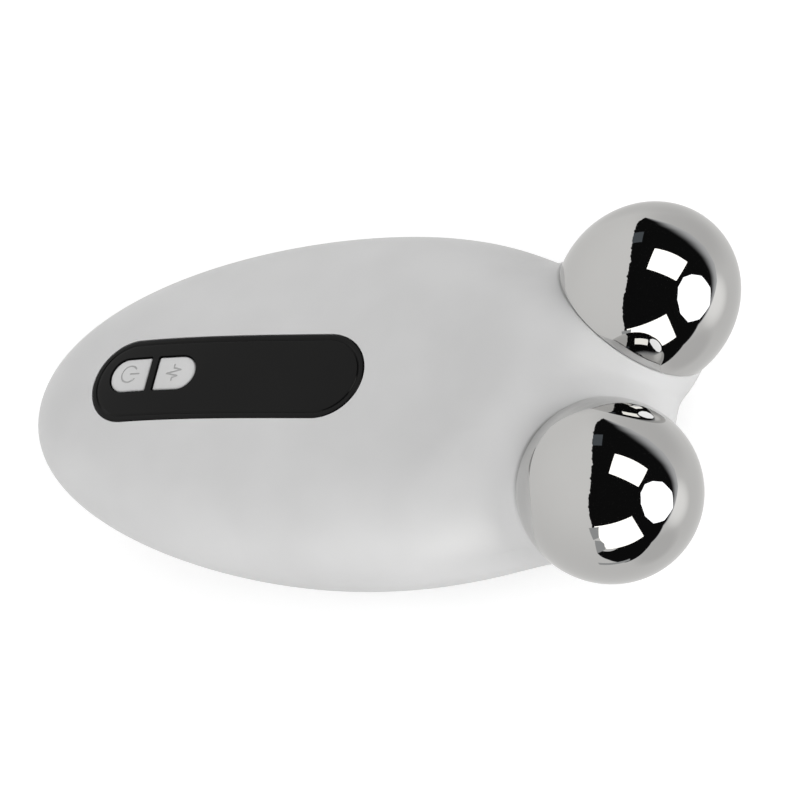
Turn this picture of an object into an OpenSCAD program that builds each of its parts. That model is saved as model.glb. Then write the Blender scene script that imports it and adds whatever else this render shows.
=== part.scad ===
// Handheld facial toning device: a smooth pebble body that forks into two necks, each
// carrying an egg-shaped metal electrode. Two push buttons sit in a long panel on its back.
// Millimetres. +X runs from the tail to the electrodes, +Y is the left side, +Z is up.
// The origin is the centre of the rubber rest pad's underside.

/* [Body] */
// Length of the body from its tail to the electrode centres
body_length = 106.5; // [102:0.5:112]
// Widest width of the body
body_width = 61; // [58:0.5:64]
// Depth of the body that its heights are shares of
body_depth = 24; // [23.5:0.25:26]
// Wall thickness of the two shells
wall = 2; // [1.6:0.1:2.2]
// Height of the parting plane between the shells, above the rest plane
parting_z = 13.8; // [13.5:0.1:14]

/* [Electrodes] */
// Distance of the electrode centres ahead of the rest pad's centre
electrode_x = 44; // [42:0.5:46]
// Height of the electrode centres above the rest plane
electrode_z = 17.8; // [17.8:0.1:18.5]
// Diameter across an electrode
electrode_d = 28; // [27:0.25:28.5]
// Length of the whole egg that an electrode is cut from, along its axis
electrode_length = 31; // [30:0.25:32]
// Distance between the two electrode centres
electrode_spacing = 33.3; // [33:0.1:34]
// Upward tilt of the electrode axes, in degrees
electrode_tilt = 36.5; // [35:0.5:38]
// Outward splay of each electrode axis, in degrees
electrode_splay = 32; // [31:0.5:33]
// Depth of the neck's mouth behind the electrode's centre
mouth_depth = 4; // [3.8:0.1:4.4]
// Wall thickness of the hollow electrode
electrode_wall = 1.4; // [1:0.1:2]
// Diameter of the electrode's centre post
post_d = 7; // [6:0.5:9]

/* [Electrode mounting] */
// Thickness of the bulkhead that closes each neck
bulkhead_t = 4; // [3.8:0.1:4.5]
// Diameter of the hole through the bulkhead
bulkhead_hole_d = 14; // [12:0.5:15]
// Diameter of the carrier's flange
carrier_flange_d = 19; // [17:0.5:20]
// Thickness of the carrier's flange
carrier_flange_t = 1.5; // [1:0.1:1.8]
// Length of the carrier's barrel behind its flange
carrier_barrel_l = 3; // [2.5:0.25:4]
// Thickness of the seal between electrode and neck
seal_t = 0.2; // [0.1:0.05:0.4]
// Width of the seal ring
seal_w = 2; // [1:0.1:2.4]
// Thread diameter of the electrode's screw
electrode_screw_d = 3; // [2.5:0.5:3]
// Length of the electrode's screw under its head
electrode_screw_l = 13; // [11:0.5:15]
// Thickness of the ring terminal under the screw's head
terminal_t = 0.5; // [0.4:0.1:0.8]
// Outer diameter of the ring terminal
terminal_d = 6.5; // [6.2:0.1:8]

/* [Control panel] */
// Length of the panel
panel_length = 50.5; // [49:0.5:52]
// Width of the panel
panel_width = 15; // [14:0.25:16]
// Distance of the panel's centre behind the rest pad's centre
panel_back = 23.75; // [22.5:0.25:24]
// Depth of the panel's face below the body's surface
panel_recess = 0.15; // [0.05:0.05:0.3]
// Height of the panel pocket's floor above the rest plane
panel_floor_z = 22.2; // [22:0.1:22.4]
// Thickness of the tray under the pocket
tray_t = 1.5; // [1.2:0.1:1.8]
// Width of the tray's rim around the pocket
tray_rim = 1.5; // [1:0.1:2.5]
// Thickness of the panel's adhesive sheet
adhesive_t = 0.15; // [0.1:0.05:0.25]
// Clearance around the panel
panel_clearance = 0.1; // [0.05:0.05:0.2]

/* [Buttons] */
// Length of the pair of buttons
button_pair_length = 16.6; // [15.5:0.1:17]
// Width of the buttons
button_width = 6.1; // [6:0.1:7]
// Gap between the two buttons
button_gap = 1.45; // [1.2:0.05:2]
// Distance of the gap's middle behind the rest pad's centre
button_back = 37.5; // [36.5:0.1:38]
// Distance of the buttons to the left of the middle
button_side = 1; // [0:0.1:1.5]
// Height of the button tops above the panel's face
button_step = 0.1; // [0:0.05:0.5]
// Travel of a button
button_travel = 0.4; // [0.25:0.05:0.5]
// Clearance around a button
button_clearance = 0.15; // [0.1:0.05:0.2]
// Diameter of the stem under a button
stem_d = 4; // [3.5:0.1:5]
// Width of the flange that keeps a button in
flange_w = 0.7; // [0.4:0.1:0.8]
// Thickness of that flange
flange_t = 0.6; // [0.5:0.1:0.8]
// Gap between that flange and the tray at rest
flange_gap = 0.05; // [0.02:0.01:0.1]

/* [Switches] */
// Side of a switch's square housing
switch_side = 6; // [5.5:0.25:6.2]
// Height of a switch's housing
switch_h = 2.6; // [2.4:0.1:3]
// Diameter of a switch's plunger
plunger_d = 3; // [2.5:0.1:3.5]
// Radial clearance of a plunger in its housing
plunger_clearance = 0.08; // [0.05:0.01:0.1]
// Depth of the plunger's bore in the housing
plunger_bore = 1.6; // [1.4:0.1:1.9]
// Height of a plunger above its housing
plunger_rise = 1; // [0.9:0.1:1.2]

/* [Circuit board] */
// Height of the board's upper face above the rest plane
board_z = 16; // [15.9:0.1:16.3]
// Thickness of the board
board_t = 1.2; // [1:0.1:1.6]
// Width of the board
board_width = 26; // [25:0.5:27]
// Distance of the board's front end ahead of the rest pad's centre
board_front = 7; // [6:0.5:9]
// Distance of the board's back end from the tail's tip
board_inset = 5.5; // [5:0.25:7]
// Diameter of the board's screw bosses
board_boss_d = 4.4; // [4:0.1:5]
// Thread diameter of the board's screws
board_screw_d = 1.6; // [1.6:0.1:2]
// Length of a board screw under its head
board_screw_l = 4; // [3.5:0.5:4.5]
// Distance of the rear board screws behind the middle of the buttons
board_screw_back = 8.6; // [8.2:0.1:9]
// Distance of the board's screws from the middle
board_screw_y = 9.5; // [9:0.25:10]

/* [Charging socket] */
// Width of the charging socket
socket_w = 8.9; // [8.5:0.1:9.2]
// Height of the charging socket
socket_h = 3.2; // [3:0.1:3.4]
// Length of the charging socket
socket_l = 7.3; // [6.5:0.1:8]
// Depth of the socket's mouth behind the tail's tip
socket_inset = 3.2; // [3:0.1:3.6]
// Clearance of the opening around the socket
socket_clearance = 0.25; // [0.1:0.05:0.35]

/* [Battery] */
// Length of the battery cell
battery_length = 28; // [26:0.5:29]
// Width of the battery cell
battery_width = 24; // [20:0.5:25]
// Thickness of the battery cell
battery_t = 6; // [5:0.25:6.5]
// Thickness of the foam pad under the battery
battery_pad_t = 0.8; // [0.5:0.1:1]

/* [Base] */
// Length of the rubber rest pad
pad_length = 42; // [40:0.5:43]
// Width of the rubber rest pad
pad_width = 14; // [13:0.5:15]
// Thickness of the rubber rest pad
pad_t = 2.4; // [2.2:0.1:2.6]
// Thickness of the shell above the pad
pad_floor_t = 1.6; // [1.4:0.1:2]
// Distance of the case screws from the pad's centre
case_screw_x = 17; // [16.6:0.1:17.2]
// Thread diameter of the case screws
case_screw_d = 2; // [1.8:0.1:2.2]
// Length of a case screw under its head
case_screw_l = 14; // [12:0.5:15]
// Diameter of the columns that the case screws run in
column_d = 5.6; // [5.2:0.1:6]

/* [Light guide] */
// Number of indicator lamps
lamp_count = 3; // [2:1:4]
// Distance between two lamps
lamp_pitch = 4; // [3:0.5:4]
// Distance of the lamps' middle behind the rest pad's centre
lamp_back = 6; // [5:0.5:6]
// Width of the light guide
guide_w = 3; // [2.5:0.1:4]
// Diameter of a light pipe
pipe_d = 2.2; // [1.6:0.1:2.4]

/* [Leads] */
// Diameter of an electrode's lead
lead_d = 1.2; // [1:0.1:1.6]
// Diameter of a battery lead
battery_lead_d = 1; // [0.8:0.1:1.2]

/* [Hidden] */
// Clearance between faces of pieces that are fastened together
fit = 0.05;
// Radial clearance of a screw in the hole that it passes through
screw_clearance = 0.15;
$fn = 48;

// Directions are counted in degrees round the neck: 0 is the front, between the
// electrodes, 90 the back, 180 the tail and 270 the belly. A row gives the shape's
// guide values in one direction, as shares of the body's length, depth and width and
// of the electrode's diameter, and the last one in degrees:
// middle line back, middle line up, crown width, shoulder back, shoulder out,
// shoulder up, neck length, neck flare.
DIRECTIONS = [0, 45, 90, 135, 180, 225, 270, 315];
GUIDES = [
    [-0.03, 0.04, 0.02, -0.03, 0.03, 0.06, 0.12, -47],
    [0.12, 0.44, 0.07, 0.12, 0.07, 0.44, 0.20, -49],
    [0.31, 0.29, 0.24, 0.26, 0.30, 0.33, 0.32, -43],
    [0.73, 0.29, 0.47, 0.18, 0.57, 0.12, 0.39, -22],
    [1.00, -0.17, 0.56, 0.14, 0.69, -0.17, 0.54, -1],
    [0.55, -0.69, 0.45, 0.30, 0.58, -0.42, 0.66, 8],
    [0.11, -0.62, 0.20, 0.18, 0.24, -0.58, 0.48, -8],
    [-0.03, -0.48, 0.07, -0.03, 0.06, -0.46, 0.20, -32],
];
// Number of steps round the neck and from the middle line to the neck's mouth
around = 56;
along = 14;
// Degrees by which the steps round the neck crowd towards the tail
crowding = 20;
// How far the inner forms run on past the neck's mouth
overrun = 2;

centre = [electrode_x, 0, electrode_z];
tail_x = electrode_x - body_length;
// Axis of the left electrode, the outward direction in its mouth's plane, and the
// direction square to both, which points forwards and down
axis = [
    cos(electrode_splay) * cos(electrode_tilt),
    sin(electrode_splay),
    cos(electrode_splay) * sin(electrode_tilt)
];
outward = [
    -sin(electrode_splay) * cos(electrode_tilt),
    cos(electrode_splay),
    -sin(electrode_splay) * sin(electrode_tilt)
];
down = [sin(electrode_tilt), 0, -cos(electrode_tilt)];
electrode_r = electrode_d / 2;
electrode_c = electrode_length / 2;
function egg_r(depth, grow = 0) =
    (electrode_r + grow) * sqrt(max(0, 1 - pow(depth / (electrode_c + grow), 2)));
mouth_r = egg_r(mouth_depth);
mouth_centre = centre + [0, electrode_spacing / 2, 0] - mouth_depth * axis;

// Smooth blend of the eight directions at one angle
function blend(angle) = [
    for (d = DIRECTIONS)
        let (a = angle - d)
        (1 + 2 * cos(a) + 2 * cos(2 * a) + 2 * cos(3 * a) + cos(4 * a)) / len(DIRECTIONS)
];

// The five guide points of the surface curve in one direction
function guide_points(angle) =
    let (
        g = blend(angle) * GUIDES,
        ray = -cos(angle) * outward - sin(angle) * down,
        mouth = mouth_centre + mouth_r * ray,
        middle = centre + [-g[0] * body_length, 0, g[1] * body_depth],
        crown = middle + [0, g[2] * body_width, 0],
        shoulder = centre + [-g[3] * body_length, g[4] * body_width, g[5] * body_depth],
        neck = mouth - g[6] * electrode_d * (cos(g[7]) * axis + sin(g[7]) * ray)
    )
    [middle, crown, shoulder, neck, mouth];

// Point of the curve that five guide points draw, from the middle line (0) to the mouth (1)
function curve_point(g, u) =
    let (v = 1 - u)
    pow(v, 4) * g[0] + 4 * u * pow(v, 3) * g[1] + 6 * u * u * v * v * g[2]
    + 4 * pow(u, 3) * v * g[3] + pow(u, 4) * g[4];

function unit(v) = v / norm(v);

GRID = [
    for (j = [0 : around - 1])
        let (turn = 360 * j / around, g = guide_points(turn + crowding * sin(turn)))
        [for (i = [0 : along]) curve_point(g, i / along)]
];
NORMALS = [
    for (j = [0 : around - 1])
        let (next = GRID[(j + 1) % around], last = GRID[(j + around - 1) % around])
        [
            for (i = [0 : along])
                let (
                    out = i == 0 ? [0, 1, 0] : GRID[j][min(i + 1, along)] - GRID[j][i - 1],
                    round = next[i] - last[i]
                )
                unit(cross(out, round))
        ]
];

// Rows of points of the left half, drawn in by a depth
function half_grid(depth) = [
    for (j = [0 : around - 1])
        [
            for (i = [0 : depth > 0 ? along + 1 : along])
                GRID[j][min(i, along)] - depth * NORMALS[j][min(i, along)]
                + (i > along ? overrun : 0) * axis
        ]
];
function mirrored(p) = [p[0], -p[1], p[2]];

// Closed solid of the body, drawn in by a depth
module body_form(depth = 0) {
    grid = half_grid(depth);
    rows = depth > 0 ? along + 1 : along;
    half = around * rows;
    function id(side, j, i) = i == 0 ? j % around : around + side * half + (j % around) * rows + i - 1;
    caps = [for (side = [0, 1]) around + 2 * half + side];
    mouth_point = mouth_centre + (depth > 0 ? overrun : 0) * axis;
    points = concat(
        [for (row = grid) row[0]],
        [for (row = grid, i = [1 : rows]) row[i]],
        [for (row = grid, i = [1 : rows]) mirrored(row[i])],
        [mouth_point, mirrored(mouth_point)]
    );
    faces = concat(
        [
            for (j = [0 : around - 1], i = [0 : rows - 1], k = [0, 1])
                let (a = id(0, j, i), b = id(0, j, i + 1), c = id(0, j + 1, i + 1), d = id(0, j + 1, i))
                k == 0 ? [a, c, b] : [a, d, c]
        ],
        [
            for (j = [0 : around - 1], i = [0 : rows - 1], k = [0, 1])
                let (a = id(1, j, i), b = id(1, j, i + 1), c = id(1, j + 1, i + 1), d = id(1, j + 1, i))
                k == 0 ? [a, b, c] : [a, c, d]
        ],
        [for (j = [0 : around - 1]) [id(0, j, rows), id(0, j + 1, rows), caps[0]]],
        [for (j = [0 : around - 1]) [id(1, j + 1, rows), id(1, j, rows), caps[1]]]
    );
    polyhedron(points, faces, convexity = 10);
}

// Round-ended bar outline, grown by a margin all round
module pill(length, width, grow = 0) {
    reach = (length - width) / 2;
    square([2 * reach, width + 2 * grow], center = true);
    for (side = [-1, 1])
        translate([side * reach, 0])
            circle(d = width + 2 * grow);
}

// Upright prism between two heights
module prism(low, high) {
    translate([0, 0, low])
        linear_extrude(high - low)
            children();
}

// Places things at an electrode's centre, with +Z along its axis
module on_neck(side) {
    translate([electrode_x, side * electrode_spacing / 2, electrode_z])
        rotate([0, -electrode_tilt, 0])
            rotate([0, 0, side * electrode_splay])
                rotate([0, 90, 0])
                    children();
}

module at_necks() {
    for (side = [-1, 1])
        on_neck(side)
            children();
}

// Heights and places that several pieces share
ceiling = 40;
tray_z = panel_floor_z - tray_t;
flange_z = tray_z - flange_gap - flange_t;
switch_top_z = board_z + switch_h;
plunger_top_z = switch_top_z + plunger_rise;
board_under_z = board_z - board_t;
board_back = tail_x + board_inset;
board_length = board_front - board_back;
board_middle = (board_front + board_back) / 2;
button_l = (button_pair_length - button_gap) / 2;
button_shift = (button_l + button_gap) / 2;
battery_z = pad_t + pad_floor_t + battery_pad_t;
head_ratio = 1.9;
case_head_h = case_screw_d * 0.9;
board_head_h = board_screw_d * 0.6;
electrode_head_h = electrode_screw_d * 0.65;
case_seat_z = pad_t + case_head_h + 0.2;
carrier_back = mouth_depth + carrier_flange_t + carrier_barrel_l;
terminal_back = carrier_back + terminal_t;
BOARD_SCREW_X = [-button_back - board_screw_back, board_front - board_width / 2];

// Electrode: lip round its back edge, steps of its profile, inset of the seal under it,
// and reach and width of a terminal's tab
electrode_back = mouth_depth - seal_t;
lip_w = 3;
lip_t = 1.5;
egg_steps = 32;
seal_inset = 0.25;
terminal_tab = 5.5;
terminal_tab_w = 2.4;

// Parts on the board's upper face. The microcontroller sits between the buttons and the
// board's column hole, with a capacitor on each side of it
lamp_h = 0.8;
lamp_l = 1.6;
chip_side = 6;
chip_h = 1;
chip_pins = 7;
chip_pitch = 0.75;
chip_x = (button_pair_length / 2 - button_back - case_screw_x - column_d / 2) / 2;
capacitor_d = 4;
capacitor_h = 4;
capacitor_base_t = 0.6;
capacitor_y = 8.5;

// Parts on the board's lower face, beside the buttons' middle, and the battery's header
// and plug
coil_d = 8;
coil_h = 4;
coil_rim_t = 0.8;
buzzer_side = 9;
buzzer_h = 3;
header_l = 5;
header_w = 7;
header_h = 3;
header_wall = 0.7;
header_x = -battery_length / 2 - column_d - header_l;
header_y = -header_w;
plug_l = 5;
plug_x = header_x - header_l / 2 + header_wall + fit;
socket_wall = 0.3;
socket_depth = 6;
tongue_t = 0.7;
tongue_inset = 0.8;
battery_edge_r = 1.5;

// Leads: sides of their section, pad on the board, and distance between the battery's two
lead_sides = 8;
lead_pad = [board_front - 5, 7, board_z];
battery_lead_pitch = 2.4;

module at_board_screws() {
    for (x = BOARD_SCREW_X, side = [-1, 1])
        translate([x, side * board_screw_y, 0])
            children();
}

module at_case_screws() {
    for (side = [-1, 1])
        translate([side * case_screw_x, 0, 0])
            children();
}

module at_panel() {
    translate([-panel_back, 0, 0])
        children();
}

module panel_outline(grow = 0) {
    pill(panel_length, panel_width, grow);
}

// Outline of one button, side -1 at the tail and 1 towards the electrodes
module button_outline(side, grow = 0) {
    translate([-button_back, button_side])
        intersection() {
            pill(button_pair_length, button_width, grow);
            translate([side * (button_shift + grow), 0])
                square([button_l + 4 * grow, 2 * button_width], center = true);
        }
}

// Half spaces above and below the parting plane
module upper_half() {
    translate([-body_length, -body_length, parting_z])
        cube([2 * body_length, 2 * body_length, body_length]);
}

module lower_half() {
    translate([-body_length, -body_length, parting_z - body_length])
        cube([2 * body_length, 2 * body_length, body_length]);
}

// Everything in front of the bulkheads' back faces, where the shells stay solid
module bulkheads() {
    at_necks()
        translate([0, 0, -mouth_depth - bulkhead_t])
            cylinder(d = 1.4 * electrode_d, h = bulkhead_t + 2 * overrun);
}

// Stepped hole for the carrier through each bulkhead
module neck_holes() {
    at_necks() {
        translate([0, 0, -mouth_depth - bulkhead_t - 1])
            cylinder(d = bulkhead_hole_d, h = bulkhead_t + 2);
        translate([0, 0, -mouth_depth - carrier_flange_t])
            cylinder(d = carrier_flange_d + 2 * fit, h = carrier_flange_t + 1);
    }
}

module socket_outline(grow = 0) {
    translate([0, board_under_z - socket_h / 2])
        pill(socket_w, socket_h, grow);
}

// Prism along the body from one x to another, its outline drawn in the YZ plane
module bar(from, to) {
    translate([from, 0, 0])
        rotate([90, 0, 90])
            linear_extrude(to - from)
                children();
}

module socket_opening() {
    bar(tail_x - 1, tail_x + socket_inset + socket_l + socket_clearance)
        socket_outline(socket_clearance);
}

module upper_shell() {
    color("gainsboro")
        difference() {
            intersection() {
                body_form();
                upper_half();
            }
            difference() {
                body_form(wall);
                bulkheads();
                at_panel()
                    prism(tray_z, ceiling)
                        panel_outline(panel_clearance + tray_rim);
                at_board_screws()
                    prism(board_z, ceiling)
                        circle(d = board_boss_d);
                at_case_screws()
                    prism(parting_z - 1, ceiling)
                        circle(d = column_d);
            }
            neck_holes();
            socket_opening();
            at_panel()
                prism(panel_floor_z, ceiling)
                    panel_outline(panel_clearance);
            for (side = [-1, 1])
                prism(tray_z - 1, ceiling)
                    button_outline(side, button_clearance);
            translate([-lamp_back, 0, 0])
                prism(tray_z - 1, ceiling)
                    guide_outline(fit);
            at_board_screws()
                prism(board_z - 1, board_under_z + board_screw_l + 0.5)
                    circle(d = board_screw_d + 2 * fit);
            at_case_screws()
                prism(parting_z - 1, case_seat_z + case_screw_l + 0.5)
                    circle(d = case_screw_d + 2 * fit);
        }
}

module lower_shell() {
    color("gainsboro")
        difference() {
            intersection() {
                body_form();
                lower_half();
            }
            difference() {
                body_form(wall);
                bulkheads();
                prism(0, pad_t + pad_floor_t)
                    pill(pad_length, pad_width, pad_floor_t);
                at_case_screws()
                    prism(0, parting_z)
                        circle(d = column_d);
            }
            neck_holes();
            socket_opening();
            prism(-1, pad_t)
                pill(pad_length, pad_width, panel_clearance);
            at_case_screws() {
                prism(0, case_seat_z)
                    circle(d = case_screw_d * head_ratio + 2 * screw_clearance);
                prism(0, parting_z + 1)
                    circle(d = case_screw_d + 2 * screw_clearance);
            }
        }
}

// Piece of the body's skin over an outline, its top lowered by a drop
module skin_prism(drop, low) {
    intersection() {
        translate([0, 0, -drop])
            body_form();
        prism(low, ceiling)
            children();
    }
}

module control_panel() {
    color("#212121")
        skin_prism(panel_recess, panel_floor_z + adhesive_t)
            difference() {
                at_panel()
                    panel_outline();
                for (side = [-1, 1])
                    button_outline(side, button_clearance);
            }
}

module panel_adhesive() {
    color("dimgray")
        prism(panel_floor_z, panel_floor_z + adhesive_t)
            difference() {
                at_panel()
                    panel_outline();
                for (side = [-1, 1])
                    button_outline(side, button_clearance);
                translate([-lamp_back, 0])
                    guide_outline();
            }
}

module button(side) {
    color("silver") {
        skin_prism(panel_recess - button_step, flange_z + flange_t)
            button_outline(side);
        prism(flange_z, flange_z + flange_t)
            intersection() {
                button_outline(side, flange_w);
                translate([-button_back + side * (button_shift + flange_w / 2 + 0.1), button_side])
                    square([button_l + flange_w, 2 * button_width], center = true);
            }
        translate([-button_back + side * button_shift, button_side, 0])
            prism(plunger_top_z, flange_z + flange_t)
                circle(d = stem_d);
    }
}

module power_button() {
    button(-1);
}

module mode_button() {
    button(1);
}

module switch_housing(side) {
    color("#303030")
        translate([-button_back + side * button_shift, button_side, 0])
            difference() {
                prism(board_z, switch_top_z)
                    square(switch_side, center = true);
                prism(switch_top_z - plunger_bore, switch_top_z + 1)
                    circle(d = plunger_d + 2 * plunger_clearance);
            }
}

module power_switch() {
    switch_housing(-1);
}

module mode_switch() {
    switch_housing(1);
}

module plunger(side) {
    color("white")
        translate([-button_back + side * button_shift, button_side, 0])
            prism(switch_top_z - plunger_bore + button_travel + 0.2, plunger_top_z)
                circle(d = plunger_d);
}

module power_switch_plunger() {
    plunger(-1);
}

module mode_switch_plunger() {
    plunger(1);
}

// Light guide: a bar in the tray with one pipe down to each lamp
module guide_outline(grow = 0) {
    pill((lamp_count - 1) * lamp_pitch + guide_w, guide_w, grow);
}

module at_lamps() {
    for (i = [0 : lamp_count - 1])
        translate([-lamp_back + (i - (lamp_count - 1) / 2) * lamp_pitch, 0, 0])
            children();
}

module light_guide() {
    color("white", 0.6) {
        translate([-lamp_back, 0, 0])
            prism(tray_z, panel_floor_z)
                guide_outline();
        at_lamps()
            prism(board_z + lamp_h + 0.3, tray_z)
                circle(d = pipe_d);
    }
}

module indicator_leds() {
    color("khaki")
        at_lamps()
            prism(board_z, board_z + lamp_h)
                square([lamp_l, lamp_l / 2], center = true);
}

module circuit_board() {
    color("darkgreen")
        difference() {
            translate([board_middle, 0, 0])
                prism(board_under_z, board_z)
                    pill(board_length, board_width);
            at_board_screws()
                prism(board_under_z - 1, board_z + 1)
                    circle(d = board_screw_d + 2 * screw_clearance);
            translate([-case_screw_x, 0, 0])
                prism(board_under_z - 1, board_z + 1)
                    circle(d = column_d + 1);
        }
}

// Screw standing on its head at the origin, with a hexagon recess
module screw(d, length, head_h) {
    difference() {
        union() {
            cylinder(d = head_ratio * d, h = head_h);
            cylinder(d = d, h = head_h + length);
        }
        translate([0, 0, -1])
            cylinder(d = d, h = 1 + 0.6 * head_h, $fn = 6);
    }
}

module board_screws() {
    color("silver")
        at_board_screws()
            translate([0, 0, board_under_z - board_head_h])
                screw(board_screw_d, board_screw_l, board_head_h);
}

module case_screws() {
    color("silver")
        at_case_screws()
            translate([0, 0, case_seat_z - case_head_h])
                screw(case_screw_d, case_screw_l, case_head_h);
}

module microcontroller() {
    color("#202020")
        translate([chip_x, 0, 0]) {
            prism(board_z + 0.1, board_z + chip_h)
                square(chip_side, center = true);
            for (turn = [0 : 90 : 270], i = [0 : chip_pins - 1])
                rotate([0, 0, turn])
                    translate([chip_side / 2, (i - (chip_pins - 1) / 2) * chip_pitch, 0])
                        prism(board_z, board_z + 0.4)
                            square([1.2, chip_pitch / 2], center = true);
        }
}

module step_up_coil() {
    color("#3a3a3a")
        translate([-button_back, button_width, board_under_z])
            mirror([0, 0, 1]) {
                cylinder(d = coil_d, h = coil_rim_t);
                cylinder(d = coil_d - 2, h = coil_h);
                translate([0, 0, coil_h - coil_rim_t])
                    cylinder(d = coil_d, h = coil_rim_t);
            }
}

module buzzer() {
    color("#2b2b2b")
        translate([-button_back, -button_width, board_under_z])
            mirror([0, 0, 1])
                difference() {
                    prism(0, buzzer_h)
                        square(buzzer_side, center = true);
                    translate([0, 0, buzzer_h - 0.5])
                        cylinder(d = 1.6, h = 1);
                }
}

module output_capacitors() {
    color("slategray")
        for (side = [-1, 1])
            translate([chip_x, side * capacitor_y, board_z]) {
                prism(0, capacitor_base_t)
                    square(capacitor_d + 0.3, center = true);
                cylinder(d = capacitor_d, h = capacitor_h);
            }
}

module usb_socket() {
    color("silver")
        difference() {
            bar(tail_x + socket_inset, tail_x + socket_inset + socket_l)
                socket_outline();
            bar(tail_x + socket_inset - 1, tail_x + socket_inset + socket_depth)
                socket_outline(-socket_wall);
        }
}

module usb_tongue() {
    color("#1d1d1d")
        translate([
            tail_x + socket_inset + tongue_inset,
            -(socket_w - 2.2) / 2,
            board_under_z - (socket_h + tongue_t) / 2
        ])
            cube([socket_depth - tongue_inset, socket_w - 2.2, tongue_t]);
}

module battery_pad() {
    color("lightgray")
        translate([-battery_length / 2 + 1, -pad_width / 2, battery_z - battery_pad_t])
            cube([battery_length - 2, pad_width, battery_pad_t]);
}

module battery_cell() {
    color("#8fa3b8")
        translate([-battery_length / 2, 0, battery_z + battery_t / 2])
            rotate([90, 0, 90])
                linear_extrude(battery_length) {
                    square([battery_width, battery_t - 2 * battery_edge_r], center = true);
                    square([battery_width - 2 * battery_edge_r, battery_t], center = true);
                    for (y = [-1, 1], z = [-1, 1])
                        translate([
                            y * (battery_width / 2 - battery_edge_r),
                            z * (battery_t / 2 - battery_edge_r)
                        ])
                            circle(r = battery_edge_r);
                }
}

// Header under the board and the plug in it, for the battery's leads
module battery_header() {
    color("ivory")
        translate([header_x - header_l / 2, header_y - header_w / 2, board_under_z - header_h])
            difference() {
                cube([header_l, header_w, header_h]);
                translate([header_wall, header_wall, header_wall])
                    cube([header_l, header_w - 2 * header_wall, header_h - 2 * header_wall]);
            }
}

module battery_plug() {
    color("white")
        translate([
            plug_x,
            header_y - header_w / 2 + header_wall + fit,
            board_under_z - header_h + header_wall + fit
        ])
            cube([
                plug_l,
                header_w - 2 * (header_wall + fit),
                header_h - 2 * (header_wall + fit)
            ]);
}

// Round lead along a curve drawn by four guide points
function bend(p, u) =
    pow(1 - u, 3) * p[0] + 3 * u * pow(1 - u, 2) * p[1] + 3 * u * u * (1 - u) * p[2] + pow(u, 3) * p[3];
function slope(p, u) =
    unit(pow(1 - u, 2) * (p[1] - p[0]) + 2 * u * (1 - u) * (p[2] - p[1]) + u * u * (p[3] - p[2]));

module lead(p, d, steps) {
    side_axis = unit(cross(p[3] - p[0], p[1] - p[0]));
    points = [
        for (k = [0 : steps], a = [0 : lead_sides - 1])
            let (
                t = slope(p, k / steps),
                e = unit(side_axis - (side_axis * t) * t),
                f = cross(t, e),
                turn = 360 * a / lead_sides
            )
            bend(p, k / steps) + d / 2 * (cos(turn) * e + sin(turn) * f)
    ];
    faces = concat(
        [[for (a = [0 : lead_sides - 1]) a]],
        [
            for (k = [0 : steps - 1], a = [0 : lead_sides - 1])
                let (b = (a + 1) % lead_sides, low = k * lead_sides, high = low + lead_sides)
                [low + b, low + a, high + a, high + b]
        ],
        [[for (a = [lead_sides - 1 : -1 : 0]) steps * lead_sides + a]]
    );
    polyhedron(points, faces, convexity = 4);
}

module battery_leads() {
    color("firebrick")
        for (side = [-1, 1]) {
            y = header_y + side * battery_lead_pitch / 2;
            start = [plug_x + plug_l + fit, y, board_under_z - header_h / 2];
            end_point = [-battery_length / 2 - fit, y, battery_z + battery_t / 2];
            lead([start, start + [3, 0, 0], end_point - [4, 0, 0], end_point], battery_lead_d, 8);
        }
}

// Electrode's profile: an egg cut off flat behind the middle, hollow, with a lip round
// its back and a post down its middle
function egg_angle(depth, half_length) = asin(-depth / half_length);
function egg_arc(radius, half_length, from, to, steps) = [
    for (i = [0 : steps])
        let (t = from + (to - from) * i / steps)
        [radius * cos(t), half_length * sin(t)]
];

module electrode(side) {
    inner_r = electrode_r - electrode_wall;
    inner_c = electrode_c - electrode_wall;
    post_angle = acos(post_d / 2 / inner_r);
    lip_angle = egg_angle(electrode_back - lip_t, inner_c);
    lip_r = egg_r(electrode_back) - lip_w;
    color("silver")
        on_neck(side)
            difference() {
                rotate_extrude()
                    polygon(concat(
                        egg_arc(electrode_r, electrode_c, egg_angle(electrode_back, electrode_c), 90, egg_steps),
                        [[0, -mouth_depth], [post_d / 2, -mouth_depth]],
                        egg_arc(inner_r, inner_c, post_angle, lip_angle, egg_steps),
                        [[lip_r, lip_t - electrode_back], [lip_r, -electrode_back]]
                    ));
                translate([0, 0, -mouth_depth - 1])
                    cylinder(
                        d = electrode_screw_d + 2 * fit,
                        h = electrode_screw_l - terminal_back + mouth_depth + 1.5
                    );
            }
}

module left_electrode() {
    electrode(1);
}

module right_electrode() {
    electrode(-1);
}

// Ring between two heights on an electrode's axis
module ring(outer_d, inner_d, low, high) {
    translate([0, 0, low])
        difference() {
            cylinder(d = outer_d, h = high - low);
            translate([0, 0, -1])
                cylinder(d = inner_d, h = high - low + 2);
        }
}

module electrode_seals() {
    seal_d = 2 * (egg_r(mouth_depth) - seal_inset);
    color("#4a4a4a")
        at_necks()
            ring(seal_d, seal_d - 2 * seal_w, -mouth_depth, -electrode_back);
}

module electrode_carriers() {
    hole_d = electrode_screw_d + 2 * screw_clearance;
    color("whitesmoke")
        at_necks() {
            ring(carrier_flange_d, hole_d, -mouth_depth - carrier_flange_t, -mouth_depth);
            ring(bulkhead_hole_d - 2 * fit, hole_d, -carrier_back, -mouth_depth - carrier_flange_t);
        }
}

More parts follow.
